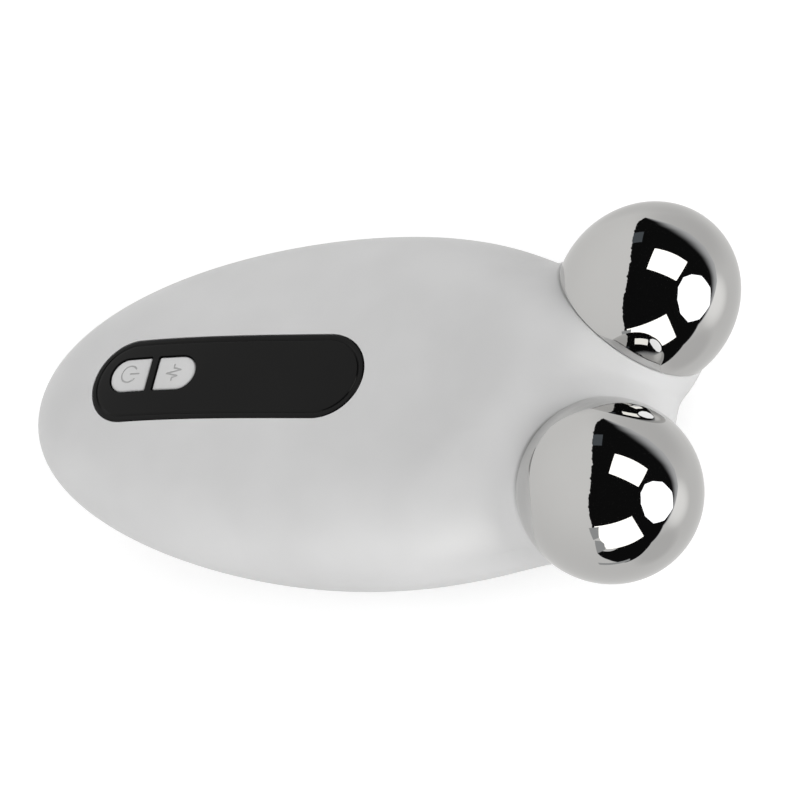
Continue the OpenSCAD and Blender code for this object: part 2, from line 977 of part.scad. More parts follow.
// Ring terminals, each with a tab towards the middle that its lead is soldered to
module electrode_terminals() {
    color("goldenrod")
        for (side = [-1, 1])
            on_neck(side)
                difference() {
                    translate([0, 0, -terminal_back])
                        linear_extrude(terminal_t) {
                            circle(d = terminal_d);
                            translate([0, -side * terminal_tab / 2])
                                square([terminal_tab_w, terminal_tab], center = true);
                        }
                    translate([0, 0, -terminal_back - 1])
                        cylinder(d = electrode_screw_d + 2 * screw_clearance, h = terminal_t + 2);
                }
}

module electrode_screws() {
    color("silver")
        at_necks()
            translate([0, 0, -terminal_back - electrode_head_h])
                screw(electrode_screw_d, electrode_screw_l, electrode_head_h);
}

// Lead from a terminal's tab back to a pad on the board's front end
module electrode_lead(side) {
    start = mouth_centre - (terminal_back - mouth_depth + fit) * axis
        - (terminal_tab - lead_d) * outward;
    end_point = lead_pad + [0, 0, fit];
    route = [start, start - 7 * axis, end_point + [0, 0, 5], end_point];
    color("firebrick")
        lead([for (p = route) [p[0], side * p[1], p[2]]], lead_d, 14);
}

module left_electrode_lead() {
    electrode_lead(1);
}

module right_electrode_lead() {
    electrode_lead(-1);
}

module rest_pad() {
    color("gray")
        prism(0, pad_t)
            pill(pad_length, pad_width);
}

upper_shell();
lower_shell();
control_panel();
panel_adhesive();
power_button();
mode_button();
power_switch();
mode_switch();
power_switch_plunger();
mode_switch_plunger();
light_guide();
indicator_leds();
circuit_board();
board_screws();
microcontroller();
step_up_coil();
buzzer();
output_capacitors();
usb_socket();
usb_tongue();
battery_cell();
battery_pad();
battery_header();
battery_plug();
battery_leads();
left_electrode();
right_electrode();
electrode_seals();
electrode_carriers();
electrode_terminals();
electrode_screws();
left_electrode_lead();
right_electrode_lead();
case_screws();
rest_pad();
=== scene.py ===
"""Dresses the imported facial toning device: smooth moulded shells, mirror-bright electrodes, a
glossy control panel with two engraved keys, finishes for the inner parts, and a studio stage."""
import math

import bpy
import numpy as np
from bpy.props import FloatProperty, FloatVectorProperty, PointerProperty
from mathutils import Matrix, Vector


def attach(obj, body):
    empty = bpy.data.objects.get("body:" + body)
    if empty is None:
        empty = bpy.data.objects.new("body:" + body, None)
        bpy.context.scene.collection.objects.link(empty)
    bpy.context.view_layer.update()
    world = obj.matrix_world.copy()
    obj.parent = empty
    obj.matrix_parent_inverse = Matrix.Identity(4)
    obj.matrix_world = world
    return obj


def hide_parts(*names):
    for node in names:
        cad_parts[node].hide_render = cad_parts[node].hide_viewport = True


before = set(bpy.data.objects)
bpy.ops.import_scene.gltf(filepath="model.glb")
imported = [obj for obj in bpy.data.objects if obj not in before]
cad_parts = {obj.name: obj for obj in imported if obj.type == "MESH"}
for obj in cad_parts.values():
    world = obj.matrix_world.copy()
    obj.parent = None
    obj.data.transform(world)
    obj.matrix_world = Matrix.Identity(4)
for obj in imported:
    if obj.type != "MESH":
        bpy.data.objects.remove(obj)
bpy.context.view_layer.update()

bl_info = {
    "name": "Facial toning device",
    "version": (1, 0, 0),
    "blender": (4, 5, 0),
    "location": "3D View > Sidebar > Toner",
    "description": "Builds the visible pieces, finishes and stage of a facial toning device",
    "category": "Object",
}

MM = 0.001

# Body skin, in millimetres, as shares in eight directions round the neck: 0 is the front
# between the electrodes, 90 the back, 180 the tail and 270 the belly. A row holds middle
# line back and up, crown width, shoulder back, out and up, neck length, and flare in degrees
BODY_LENGTH = 106.5
BODY_WIDTH = 61
BODY_DEPTH = 24
WALL = 2
PARTING_Z = 13.8
DIRECTIONS = np.arange(0, 360, 45)
GUIDES = np.array([
    [-0.03, 0.04, 0.02, -0.03, 0.03, 0.06, 0.12, -47],
    [0.12, 0.44, 0.07, 0.12, 0.07, 0.44, 0.20, -49],
    [0.31, 0.29, 0.24, 0.26, 0.30, 0.33, 0.32, -43],
    [0.73, 0.29, 0.47, 0.18, 0.57, 0.12, 0.39, -22],
    [1.00, -0.17, 0.56, 0.14, 0.69, -0.17, 0.54, -1],
    [0.55, -0.69, 0.45, 0.30, 0.58, -0.42, 0.66, 8],
    [0.11, -0.62, 0.20, 0.18, 0.24, -0.58, 0.48, -8],
    [-0.03, -0.48, 0.07, -0.03, 0.06, -0.46, 0.20, -32],
])

# Degrees by which the curves round the neck crowd towards the tail, how far drawn-in forms run
# on past the mouths, how finely the outer and the inner skin are cut round and along, and how
# many times finer the outer skin's curves are cut before they are evened
CROWDING = 20
MOUTH_OVERRUN = 2
SKIN_STEPS = (280, 72)
HOLLOW_STEPS = (96, 28)
FINER = 4

# Smoothing of the valley between the necks: rounds, turn at which it ends, turn over which it
# fades, share of a curve over which it fades at the mouth, and rounds for each one across
RELAX_ROUNDS = 400
RELAX_END = 80
RELAX_FADE = 40
RELAX_RIM = 1 / 12
RELAX_ACROSS = 8

# Electrodes, in millimetres from the middle between their centres: an egg with its lip at the
# back, the post in it with its screw hole, and their tilt and splay
CENTRE = np.array([44, 0, 17.8])
ELECTRODE_R = 14
ELECTRODE_C = 15.5
ELECTRODE_WALL = 1.4
SPACING = 33.3
TILT = math.radians(36.5)
SPLAY = math.radians(32)
MOUTH_DEPTH = 4
SEAL_T = 0.2
LIP_W = 3
LIP_T = 1.5
POST_R = 3.5
SCREW_HOLE_R = 1.55
SCREW_HOLE_END = 4.5

# Bulkheads in the necks: thickness, and reach of their disc in electrode radii. Then the
# carriers' stepped holes through them
BULKHEAD_T = 4
BULKHEAD_REACH = 1.4
CARRIER_R = 7
FLANGE_R = 9.55
FLANGE_T = 1.5

# Axis of the left electrode, the outward direction in its mouth's plane, and the direction
# square to both, which points forwards and down
AXIS = np.array([
    math.cos(SPLAY) * math.cos(TILT), math.sin(SPLAY), math.cos(SPLAY) * math.sin(TILT)
])
OUTWARD = np.array([
    -math.sin(SPLAY) * math.cos(TILT), math.cos(SPLAY), -math.sin(SPLAY) * math.sin(TILT)
])
DOWN = np.array([math.sin(TILT), 0, -math.cos(TILT)])
MOUTH_R = ELECTRODE_R * math.sqrt(1 - (MOUTH_DEPTH / ELECTRODE_C) ** 2)
MOUTH_CENTRE = CENTRE + [0, SPACING / 2, 0] - MOUTH_DEPTH * AXIS

# Control panel: stretch of its tail end, rise of its face over the skin, the fine line that
# runs round the face (distance from the edge, width and depth), and its pocket and tray
PANEL_X = -23.75
PANEL_L = 50.5
PANEL_W = 15
PANEL_TIP = 0.1
PANEL_RISE = 0.05
LINE_IN = 1.2
LINE_W = 0.45
LINE_DEPTH = 0.12
PANEL_SPECULAR = 0.15
PANEL_FLOOR_Z = 22.2
PANEL_LOW_Z = 22.35
CLEARANCE = 0.1
TRAY_Z = 20.7
TRAY_RIM = 1.5

# Keys: their middle, size and drop below the skin, then the flange under the panel, the root
# in it and the stem down to the switch
KEY_X = -37.5
KEY_Y = 1
KEY_L = 7.575
KEY_W = 6.1
KEY_GAP = 1.45
KEY_DROP = 0.15
KEY_CLEARANCE = 0.15
KEY_CORNER = 0.35
KEY_FLANGE = 0.7
KEY_FLANGE_IN = 0.1
KEY_FLANGE_FLAT = 0.01
KEY_FLANGE_LOW_Z = 20.05
KEY_FLANGE_TOP_Z = 20.65
KEY_ROOT_Z = 20.35
KEY_STEM_R = 2
KEY_STEM_LOW_Z = 19.6

# Engraved marks: sideways shift, depth of the groove, depths of the filling's face and root,
# and the filling's share of the groove's width. The filling's darker colour is painted shade
# in the grooves
MARK_SHIFT = 0.05
GROOVE_DEPTH = 0.15
MARK_DEPTH = 0.05
MARK_ROOT = 0.4
MARK_FIT = 0.96

# Opening for the light guide, then the board's screws with their bosses and pilot holes
GUIDE_X = -6
GUIDE_L = 11
GUIDE_W = 3
GUIDE_CLEARANCE = 0.05
BOARD_SCREWS = [(-46.1, 9.5), (-46.1, -9.5), (-6, 9.5), (-6, -9.5)]
BOARD_BOSS_R = 2.2
BOARD_SCREW_R = 0.85
BOARD_Z = 16
BOARD_SCREW_END_Z = 19.3

# Case screws with their columns, pilot holes, through holes and heads, and the rest pad
CASE_SCREWS = [(-17, 0), (17, 0)]
COLUMN_R = 2.8
CASE_SCREW_R = 1.05
CASE_SCREW_HOLE_R = 1.15
CASE_HEAD_R = 2.05
CASE_SEAT_Z = 4.4
CASE_SCREW_END_Z = 18.9
PAD_L = 42
PAD_W = 14
PAD_T = 2.4
PAD_FLOOR_T = 1.6

# Opening of the charging socket in the tail
SOCKET_W = 9.4
SOCKET_H = 3.7
SOCKET_Z = 13.2
SOCKET_FROM = -66
SOCKET_TO = -51.75

# Height over everything, and how far a cutting form runs past what it cuts
ABOVE = 40
PAST = 1

# How finely round forms, the faces and rounded edges of panel and keys, and the ends of strokes
# are cut, and the rounds of the search for a height
POST_STEPS = 48
NECK_STEPS = 64
ELECTRODE_STEPS = (161, 49, 288)
PANEL_RINGS = 48
KEY_RINGS = 20
EDGE_STEPS = 7
HEIGHT_ROUNDS = 12

# Noise that drifts through a moulded colour and its gloss, per metre, and its clear coat
DRIFT_SCALE = 60
GLOSS_SCALE = 900
COAT_ROUGHNESS = 0.05

# Edge that counts as crisp, in degrees. A cut face takes its shading from the whole skin where
# it lies within the reach of it, and where the cosine of their directions is above the limit
CRISP_ANGLE = 30
SHADING_REACH = 0.03
SHADING_COSINE = 0.9

# Soft disk lamps: where each stands in metres, and its power in watts
LAMP_SIZE = 0.7
LAMPS = {
    "near_lamp": ((0.35, -1.0, 0.25), 5.5),
    "far_lamp": ((-0.6, 0.8, 0.4), 3.1),
    "front_lamp": ((1.0, -0.1, 0.4), 4.3),
    "low_lamp": ((1.0, -0.35, 0.08), 4.7),
    "corner_lamp": ((0.7, 0.7, 0.35), 2.3),
    "tail_lamp": ((-1.0, -0.2, 0.3), 4.0),
}

# Floor: half its side, its thickness and colour, and its glow near the object and far from it
FLOOR_REACH = 3000
FLOOR_T = 2
FLOOR_COLOUR = (0.55, 0.55, 0.55, 1)
FLOOR_NEAR = (0.2, 0.62)
FLOOR_FAR = (1.2, 0.85)

# Paper sweep that polished metal shows all round. A lobe holds a direction from the electrodes,
# the cosines where its change starts and ends, and the glow's factor before and after
SWEEP_R = 900
SWEEP_STEPS = (49, 96)
SWEEP_LOBES = [
    ((0, 0, 1), -1, 1, 0.74, 0.88),
    ((0.9, 0.03, -0.43), 0.9, 1, 1, 1.45),
    ((0.45, 0.87, 0.2), 0.6, 1, 1, 0.8),
    ((0.47, -0.5, -0.72), 0.9, 0.98, 1, 0.85),
    ((-0.3, 0.9, -0.3), 0.9, 1, 1, 0.9),
]

# Dark room in front of the sweep, in degrees: latitudes towards +Y with the turns of its soft
# lower border, those of its straight upper border, and the width of the soft border
ROOM_R = 700
ROOM_STEPS = (121, 146)
ROOM_LATITUDES = (-75, 70)
ROOM_LOW = (
    [-75, -69, -61, -50, -45, -41, -25, -10, 3, 16, 30, 44, 57, 66, 70],
    [-140, -129, -104, -85, -55, -42, -26, -23, -20, -18, -12, 2, 24, 56, 93],
)
ROOM_HIGH = (
    [-75, -65, -58, -45, -31, -20, -3, 10, 27, 40, 50, 64, 70],
    [130, 114, 111, 106, 102, 98.5, 98, 98, 102, 107, 112, 124, 126],
)
ROOM_SOFT = ([-20, 5, 20, 40, 60, 70], [2, 8, 16, 34, 48, 36])
ROOM_GLOW = (0.006, 0.6)

# Glow of the boxes and cards: colour and strength
CARD_GLOWS = {
    "warm": ((1, 0.985, 0.94), 2.2),
    "cool": ((0.97, 0.98, 1), 2.2),
    "grey": ((0.9, 0.92, 0.93), 0.45),
    "dim": ((0.8, 0.9, 1), 0.11),
}

# Bright boxes and small cards of the studio that polished metal shows: glow and corners
CARDS = {
    "top_box": ("warm", [(188, 238, 503), (506, 165, 287), (482, -81, 356), (171, -12, 563)]),
    "side_box": ("warm", [(-30, -516, 222), (392, -396, 207), (384, -428, -112), (23, -550, -86)]),
    "octagon_box": ("cool", [
        (578, -20, 330), (560, -155, 345), (535, -270, 255), (525, -350, 100), (525, -330, -70),
        (545, -215, -165), (560, -60, -170), (575, 55, -75), (585, 95, 90), (585, 55, 230),
    ]),
    "upper_flag": ("grey", [(-86, -494, 192), (34, -504, 213), (29, -534, 98), (-69, -527, 49)]),
    "lower_flag": ("grey", [(-58, -530, 43), (29, -540, 27), (9, -529, -83), (-76, -505, -131)]),
    "low_strip": ("grey", [
        (-109, -443, -265), (134, -438, -300), (120, -425, -325), (-108, -425, -295),
    ]),
    "dim_card": ("dim", [(-95, 425, 418), (0, 444, 419), (28, 325, 522), (-72, 309, 518)]),
}

# Camera, in millimetres: where it stands, what it looks at, the picture's upward edge, its lens
# and sensor, and in metres the nearest thing that it shows
CAMERA_PLACE = (219.84, -202.22, 389.19)
CAMERA_AIM = (5.21, -0.85, 17.8)
CAMERA_UP = (0.0113, 0.8818, 0.4716)
CAMERA_LENS = 135
CAMERA_SENSOR = 36
CAMERA_CLIP = 0.01


# ---------------------------------------------------------------- meshes

def outward(points, faces):
    """The quads, turned round where the closed surface has a negative volume: the sum of the
    triple products of each quad's two triangles, over six."""
    a, b, c, d = (points[faces[:, k]] for k in range(4))
    volume = np.einsum("ij,ij->i", a, np.cross(b, c) + np.cross(c, d)).sum()
    return faces if volume > 0 else faces[:, ::-1]


def object_from(name, points, faces):
    """A smooth-shaded object from points in millimetres and an array of quads. A corner that
    is the same point as the next one is left out, which makes a triangle."""
    keep = faces != np.roll(faces, -1, axis=1)
    corners, sides = faces[keep], keep.sum(axis=1)
    mesh = bpy.data.meshes.new(name)
    mesh.vertices.add(len(points))
    mesh.loops.add(len(corners))
    mesh.polygons.add(len(faces))
    mesh.vertices.foreach_set("co", (points * MM).ravel())
    mesh.loops.foreach_set("vertex_index", corners)
    mesh.polygons.foreach_set("loop_start", np.cumsum(sides) - sides)
    mesh.update(calc_edges=True)
    mesh.validate()
    mesh.shade_smooth()
    piece = bpy.data.objects.new(name, mesh)
    bpy.context.scene.collection.objects.link(piece)
    return piece


def sharpened(piece):
    """The piece with every edge that turns by more than the crisp angle kept crisp."""
    piece.data.shade_smooth()
    piece.data.set_sharp_from_angle(angle=math.radians(CRISP_ANGLE))
    return piece


def settled(piece):
    """The piece with its modifiers made part of its mesh."""
    graph = bpy.context.evaluated_depsgraph_get()
    mesh = bpy.data.meshes.new_from_object(piece.evaluated_get(graph))
    old = piece.data
    piece.modifiers.clear()
    piece.data = mesh
    mesh.name = piece.name
    bpy.data.meshes.remove(old)
    return piece


def combined(piece, operation, *others):
    """The piece with each other solid cut away, kept in common or added, for good."""
    for other in others:
        modifier = piece.modifiers.new("carve", "BOOLEAN")
        modifier.solver = "MANIFOLD"
        modifier.operation = operation
        modifier.object = other
    settled(piece)
    for other in others:
        bpy.data.objects.remove(other)
    return piece


def shaded_as(piece, source):
    """The piece with corner normals taken from the source's surface wherever its faces lie
    on that surface, so that cuts leave no trace in the shading."""
    own = np.empty(len(piece.data.loops) * 3)
    piece.data.corner_normals.foreach_get("vector", own)
    modifier = piece.modifiers.new("shading", "DATA_TRANSFER")
    modifier.object = source
    modifier.use_loop_data = True
    modifier.data_types_loops = {"CUSTOM_NORMAL"}
    modifier.loop_mapping = "POLYINTERP_NEAREST"
    modifier.use_max_distance = True
    modifier.max_distance = SHADING_REACH * MM
    settled(piece)
    mesh = piece.data
    taken = np.empty(len(mesh.loops) * 3)
    mesh.corner_normals.foreach_get("vector", taken)
    own, taken = own.reshape(-1, 3), taken.reshape(-1, 3)
    flat = np.empty(len(mesh.polygons) * 3)
    mesh.polygon_normals.foreach_get("vector", flat)
    count = np.empty(len(mesh.polygons), int)
    mesh.polygons.foreach_get("loop_total", count)
    flat = np.repeat(flat.reshape(-1, 3), count, axis=0)
    lies = (flat * taken).sum(axis=1, keepdims=True) > SHADING_COSINE
    mesh.normals_split_custom_set(np.where(lies, taken, own).tolist())
    return piece


def revolved(name, profile, place, steps):
    """Surface of revolution: each (radius, height) of the profile goes round the third axis
    of the 4 x 3 place (three directions and an origin), at radius cos t and radius sin t along
    the other two. The profile runs from pole to pole."""
    turn = np.linspace(0, 2 * math.pi, steps, endpoint=False)
    radius = profile[:, 0][:, None]
    local = np.stack([
        radius * np.cos(turn), radius * np.sin(turn),
        np.broadcast_to(profile[:, 1][:, None], (len(profile), steps)),
    ], axis=-1)
    points = local.reshape(-1, 3) @ place[:3] + place[3]
    row, column = np.meshgrid(np.arange(len(profile) - 1), np.arange(steps), indexing="ij")
    ids = np.arange(len(profile) * steps).reshape(len(profile), steps)
    ids[profile[:, 0] == 0] = ids[profile[:, 0] == 0, :1]
    after = (column + 1) % steps
    faces = np.stack([
        ids[row, column], ids[row, after], ids[row + 1, after], ids[row + 1, column]
    ], axis=-1).reshape(-1, 4)
    faces = outward(points, faces)
    used = np.unique(faces)
    renumber = np.zeros(len(points), int)
    renumber[used] = np.arange(len(used))
    return object_from(name, points[used], renumber[faces])


def rounded_box(low_x, high_x, low_y, high_y, radii, spacing=0.5):
    """Outline of a box whose four corners (+X+Y, -X+Y, -X-Y, +X-Y) are quarter circles of
    the given radii, with its outward directions, as two (n, 2) arrays."""
    points, normals = [], []
    corners = [(high_x, high_y), (low_x, high_y), (low_x, low_y), (high_x, low_y)]
    signs = [(-1, -1), (1, -1), (1, 1), (-1, 1)]
    for k, radius in enumerate(radii):
        centre = np.array(corners[k]) + radius * np.array(signs[k])
        angle = np.linspace(0, math.pi / 2, max(4, round(radius * 8))) + k * math.pi / 2
        ray = np.stack([np.cos(angle), np.sin(angle)], axis=-1)
        points.append(centre + radius * ray)
        normals.append(ray)
        after = (k + 1) % 4
        end = np.array(corners[after]) + radii[after] * np.array(signs[after])
        end = end + radii[after] * ray[-1]
        start = points[-1][-1]
        count = int(np.linalg.norm(end - start) / spacing)
        share = np.linspace(0, 1, count + 2)[1:-1, None]
        points.append(start + share * (end - start))
        normals.append(np.broadcast_to(ray[-1], (count, 2)))
    points, normals = np.concatenate(points), np.concatenate(normals)
    gap = np.linalg.norm(points - np.roll(points, 1, axis=0), axis=1)
    return points[gap > 1e-6], normals[gap > 1e-6]


def pill(length, width, grow=0, x=0):
    """Outline and outward directions of a round-ended bar about (x, 0), grown all round."""
    half_l, half_w = length / 2 + grow, width / 2 + grow
    return rounded_box(x - half_l, x + half_l, -half_w, half_w, [half_w] * 4)


def panel_outline(grow=0):
    """Outline of the control panel, grown all round: a round-ended bar whose half circle at
    the tail is stretched along the body."""
    points, _ = pill(PANEL_L, PANEL_W, grow, PANEL_X)
    hub = PANEL_X - (PANEL_L - PANEL_W) / 2
    behind = np.minimum(points[:, 0] - hub, 0)
    points[:, 0] += behind * PANEL_TIP / (PANEL_W / 2)
    along = np.roll(points, -1, axis=0) - np.roll(points, 1, axis=0)
    normals = np.stack([along[:, 1], -along[:, 0]], axis=-1)
    return points, normals / np.linalg.norm(normals, axis=1, keepdims=True)


def rounding(radius):
    """Edge profile of a quarter circle: distances inwards from the outline and drops."""
    quarter = np.linspace(0, math.pi / 2, EDGE_STEPS)
    return np.stack([radius * (1 - np.sin(quarter)), radius * (1 - np.cos(quarter))], axis=-1)


def capped(name, outline, normals, low, top, profile=((0, 0),), rings=1):
    """Solid on an outline with a flat underside at low and the height function top(x, y)
    above: rings run from the middle out to the edge profile, whose rows give a distance
    inwards from the outline and a drop below the top, then the wall goes down and one fan
    closes the underside."""
    middle = outline.mean(axis=0)
    profile = np.array(profile, float)
    share = np.linspace(0, 1, rings + 1)[1:-1, None, None]
    edge = outline - profile[:, :1, None] * normals
    sides = np.concatenate([middle + share * (edge[0] - middle), edge])
    heights = top(sides[..., 0], sides[..., 1])
    heights[rings - 1:] -= profile[:, 1:]
    rows = np.concatenate([sides, outline[None]])
    heights = np.concatenate([heights, np.full((1, len(outline)), low)])
    ring_points = np.concatenate([rows, heights[..., None]], axis=-1).reshape(-1, 3)
    peak = np.append(middle, top(middle[:1], middle[1:])[0])
    points = np.concatenate([ring_points, [peak], [np.append(middle, low)]])
    count, width = rows.shape[0], rows.shape[1]
    ids = np.arange(count * width).reshape(count, width)
    ring, column = np.meshgrid(np.arange(count - 1), np.arange(width), indexing="ij")
    after = (column + 1) % width
    walls = np.stack([
        ids[ring, column], ids[ring + 1, column], ids[ring + 1, after], ids[ring, after]
    ], axis=-1).reshape(-1, 4)
    here, there = np.arange(width), (np.arange(width) + 1) % width
    peak_id = np.full(width, count * width)
    caps = [
        np.stack([ids[0, here], ids[0, there], peak_id, peak_id], axis=-1),
        np.stack([ids[-1, there], ids[-1, here], peak_id + 1, peak_id + 1], axis=-1),
    ]
    return object_from(name, points, outward(points, np.concatenate([walls] + caps)))


def prism(name, outline, low, high):
    """Straight prism on an outline between two heights."""
    return capped(name, *outline, low, lambda x, y: np.full(np.shape(x), float(high)))


def round_prism(name, spot, radius, low, high):
    """Upright cylinder about a spot, as a straight prism on a circle."""
    turn = np.linspace(0, 2 * math.pi, POST_STEPS, endpoint=False)
    ray = np.stack([np.cos(turn), np.sin(turn)], axis=-1)
    return prism(name, (spot + radius * ray, ray), low, high)


def posts(name, spots, radius, low, high):
    """An upright cylinder about each spot."""
    return [round_prism(name, spot, radius, low, high) for spot in spots]


def neck_place(side):
    """Down, outward, axis and centre of one electrode, as the rows of a 4 x 3 array."""
    flip = np.array([1, side, 1])
    return np.array([DOWN, OUTWARD * flip, AXIS * flip, CENTRE + [0, side * SPACING / 2, 0]])


# ---------------------------------------------------------------- body skin

def guide_points(turn):
    """Five control points of the left half's skin curve at each turn: the eight guide rows are
    blended by the weights (1 + 2 cos a + 2 cos 2a + 2 cos 3a + cos 4a) / 8, and the blended
    row places the points from the middle line to the neck's mouth."""
    a = np.radians(turn[:, None] - DIRECTIONS)
    weights = (1 + 2 * np.cos(a) + 2 * np.cos(2 * a) + 2 * np.cos(3 * a) + np.cos(4 * a)) / 8
    g = weights @ GUIDES
    angle = np.radians(turn)[:, None]
    ray = -np.cos(angle) * OUTWARD - np.sin(angle) * DOWN
    mouth = MOUTH_CENTRE + MOUTH_R * ray
    zero = np.zeros(len(turn))
    middle = CENTRE + np.stack([-g[:, 0] * BODY_LENGTH, zero, g[:, 1] * BODY_DEPTH], axis=-1)
    crown = middle + np.stack([zero, g[:, 2] * BODY_WIDTH, zero], axis=-1)
    shoulder = CENTRE + np.stack([
        -g[:, 3] * BODY_LENGTH, g[:, 4] * BODY_WIDTH, g[:, 5] * BODY_DEPTH
    ], axis=-1)
    flare = np.radians(g[:, 7:8])
    reach = 2 * ELECTRODE_R * g[:, 6:7]
    neck = mouth - reach * (np.cos(flare) * AXIS + np.sin(flare) * ray)
    return middle, crown, shoulder, neck, mouth


def curve_points(controls, u):
    """Points of the fourth-degree Bezier curves through five control points: the sum of
    (1, 4, 6, 4, 1) times the powers (4 - k) of 1 - u and k of u times the k-th point."""
    v = 1 - u
    shares = (v ** 4, 4 * u * v ** 3, 6 * u ** 2 * v ** 2, 4 * u ** 3 * v, u ** 4)
    return sum(share * control for share, control in zip(shares, controls))


def skin_points(turn, along):
    """Grid of the left half's skin: one curve for each turn, cut at the shares along."""
    return curve_points([p[:, None] for p in guide_points(turn)], along[None, :, None])


def paired_points(turn, u):
    """One skin point for each pair of a turn and a share along."""
    return curve_points(guide_points(turn), u[:, None])


def skin_height(x, y):
    """Height of the back of the skin over (x, y): Newton steps on the two parameters until
    the skin's point lies over the wanted one."""
    shape = np.shape(x)
    goal = np.stack([np.ravel(x), np.abs(np.ravel(y))], axis=-1).astype(float)
    line = np.linspace(90, 180, 91)
    line_x = skin_points(line, np.zeros(1))[:, 0, 0]
    turn = np.interp(-goal[:, 0], -line_x, line)
    u = goal[:, 1] / 100
    step_turn, step_u = 0.01, 1e-4
    for _ in range(HEIGHT_ROUNDS):
        p = paired_points(turn, u)
        by_turn = (paired_points(turn + step_turn, u) - p) / step_turn
        by_u = (paired_points(turn, u + step_u) - p) / step_u
        miss = goal - p[:, :2]
        det = by_turn[:, 0] * by_u[:, 1] - by_turn[:, 1] * by_u[:, 0]
        turn = turn + (miss[:, 0] * by_u[:, 1] - miss[:, 1] * by_u[:, 0]) / det
        u = np.maximum(u + (by_turn[:, 0] * miss[:, 1] - by_turn[:, 1] * miss[:, 0]) / det, 0)
    return paired_points(turn, u)[:, 2].reshape(shape)


def evened(grid):
    """The grid with each curve's points spread evenly along its length."""
    steps = np.linalg.norm(np.diff(grid, axis=1), axis=-1)
    reach = np.concatenate([np.zeros((len(grid), 1)), np.cumsum(steps, axis=1)], axis=1)
    count = grid.shape[1]
    goal = reach[:, -1:] * np.linspace(0, 1, count)
    rows = np.arange(len(grid))[:, None]
    after = np.clip((reach[:, None, :] < goal[:, :, None]).sum(axis=-1), 1, count - 1)
    low, high = reach[rows, after - 1], reach[rows, after]
    share = ((goal - low) / (high - low))[..., None]
    return (1 - share) * grid[rows, after - 1] + share * grid[rows, after]


def relaxed(grid, turn):
    """The grid with the valley between the necks smoothed: in each round a point moves towards
    the mean of its two neighbours on the curve, and in some rounds also towards the mean of
    those on the curves beside it, by a weight that fades from the front to the sides. A
    curve's neighbour across the middle line is its own mirror image."""
    sideways = np.abs((turn + 180) % 360 - 180)
    front = np.clip((RELAX_END - sideways) / RELAX_FADE, 0, 1)
    rim = np.clip((1 - np.linspace(0, 1, grid.shape[1])) / RELAX_RIM, 0, 1)
    weight = (0.5 * front[:, None] * rim)[..., None]
    for step in range(RELAX_ROUNDS):
        before = np.concatenate([grid[:, 1:2] * [1, -1, 1], grid[:, :-1]], axis=1)
        following = np.concatenate([grid[:, 1:], grid[:, -1:]], axis=1)
        grid = grid + weight * ((before + following) / 2 - grid)
        if step % RELAX_ACROSS == 0:
            beside = np.roll(grid, 1, axis=0) + np.roll(grid, -1, axis=0)
            grid = grid + weight * (beside / 2 - grid)
    return grid


def drawn_in(grid, depth):
    """The grid moved inwards by a depth along its normals, the cross products of its two
    directions, and run on a little past the mouth."""
    around_step = np.roll(grid, -1, axis=0) - np.roll(grid, 1, axis=0)
    along_step = np.empty_like(grid)
    along_step[:, 0] = [0, 1, 0]
    along_step[:, 1:-1] = grid[:, 2:] - grid[:, :-2]
    along_step[:, -1] = grid[:, -1] - grid[:, -2]
    normal = np.cross(along_step, around_step)
    grid = grid - depth * normal / np.linalg.norm(normal, axis=-1, keepdims=True)
    grid[:, 0, 1] = 0
    return np.concatenate([grid, grid[:, -1:] + MOUTH_OVERRUN * AXIS], axis=1)


def body_solid(name, grid, past=0):
    """Closed body from the left half's grid: it and its mirror image share the middle line,
    and a fan closes each mouth, moved out along the neck's axis by the overrun."""
    around, rows = len(grid), grid.shape[1] - 1
    half = around * rows
    flip = np.array([1, -1, 1])
    cap = MOUTH_CENTRE + past * AXIS
    left = grid[:, 1:].reshape(-1, 3)
    points = np.concatenate([grid[:, 0], left, left * flip, [cap], [cap * flip]])
    ids = np.empty((2, around, rows + 1), int)
    ids[:, :, 0] = np.arange(around)
    ids[0, :, 1:] = around + np.arange(half).reshape(around, rows)
    ids[1, :, 1:] = ids[0, :, 1:] + half
    after = np.roll(ids, -1, axis=1)
    quads = np.stack([ids[..., :-1], after[..., :-1], after[..., 1:], ids[..., 1:]], axis=-1)
    caps = around + 2 * half + np.broadcast_to(np.arange(2)[:, None], (2, around))
    ends = np.stack([ids[..., -1], after[..., -1], caps, caps], axis=-1)
    left_faces = np.concatenate([quads[0].reshape(-1, 4), ends[0]])
    right_faces = np.concatenate([quads[1].reshape(-1, 4)[:, ::-1], ends[1][:, [1, 0, 2, 3]]])
    return object_from(name, points, outward(points, np.concatenate([left_faces, right_faces])))


def neck_turns(around):
    """Turns of the curves round the neck, t + crowding sin t, closer together at the tail."""
    turn = np.arange(around) * 360 / around
    return turn + CROWDING * np.sin(np.radians(turn))


def skin_solid(name):
    """Closed body with the outer skin, evened and relaxed."""
    around, along = SKIN_STEPS
    turn = neck_turns(around)
    fine = evened(skin_points(turn, np.linspace(0, 1, FINER * along + 1)))
    return body_solid(name, relaxed(evened(fine[:, ::FINER]), turn))


def hollow_solid(name):
    """Closed body with the skin drawn in by the wall."""
    around, along = HOLLOW_STEPS
    grid = skin_points(neck_turns(around), np.linspace(0, 1, along + 1))
    return body_solid(name, drawn_in(grid, WALL), MOUTH_OVERRUN)


# ---------------------------------------------------------------- finishes

def new_material(name):
    """A node material with its shader and output, as (material, nodes, links, shader)."""
    material = bpy.data.materials.new(name)
    material.use_nodes = True
    tree = material.node_tree
    return material, tree.nodes, tree.links, tree.nodes["Principled BSDF"]


def calculated(nodes, links, operation, first, second):
    """Result of one operation on two values."""
    node = nodes.new("ShaderNodeMath")
    node.operation = operation
    links.new(first, node.inputs[0])
    links.new(second, node.inputs[1])
    return node.outputs["Value"]


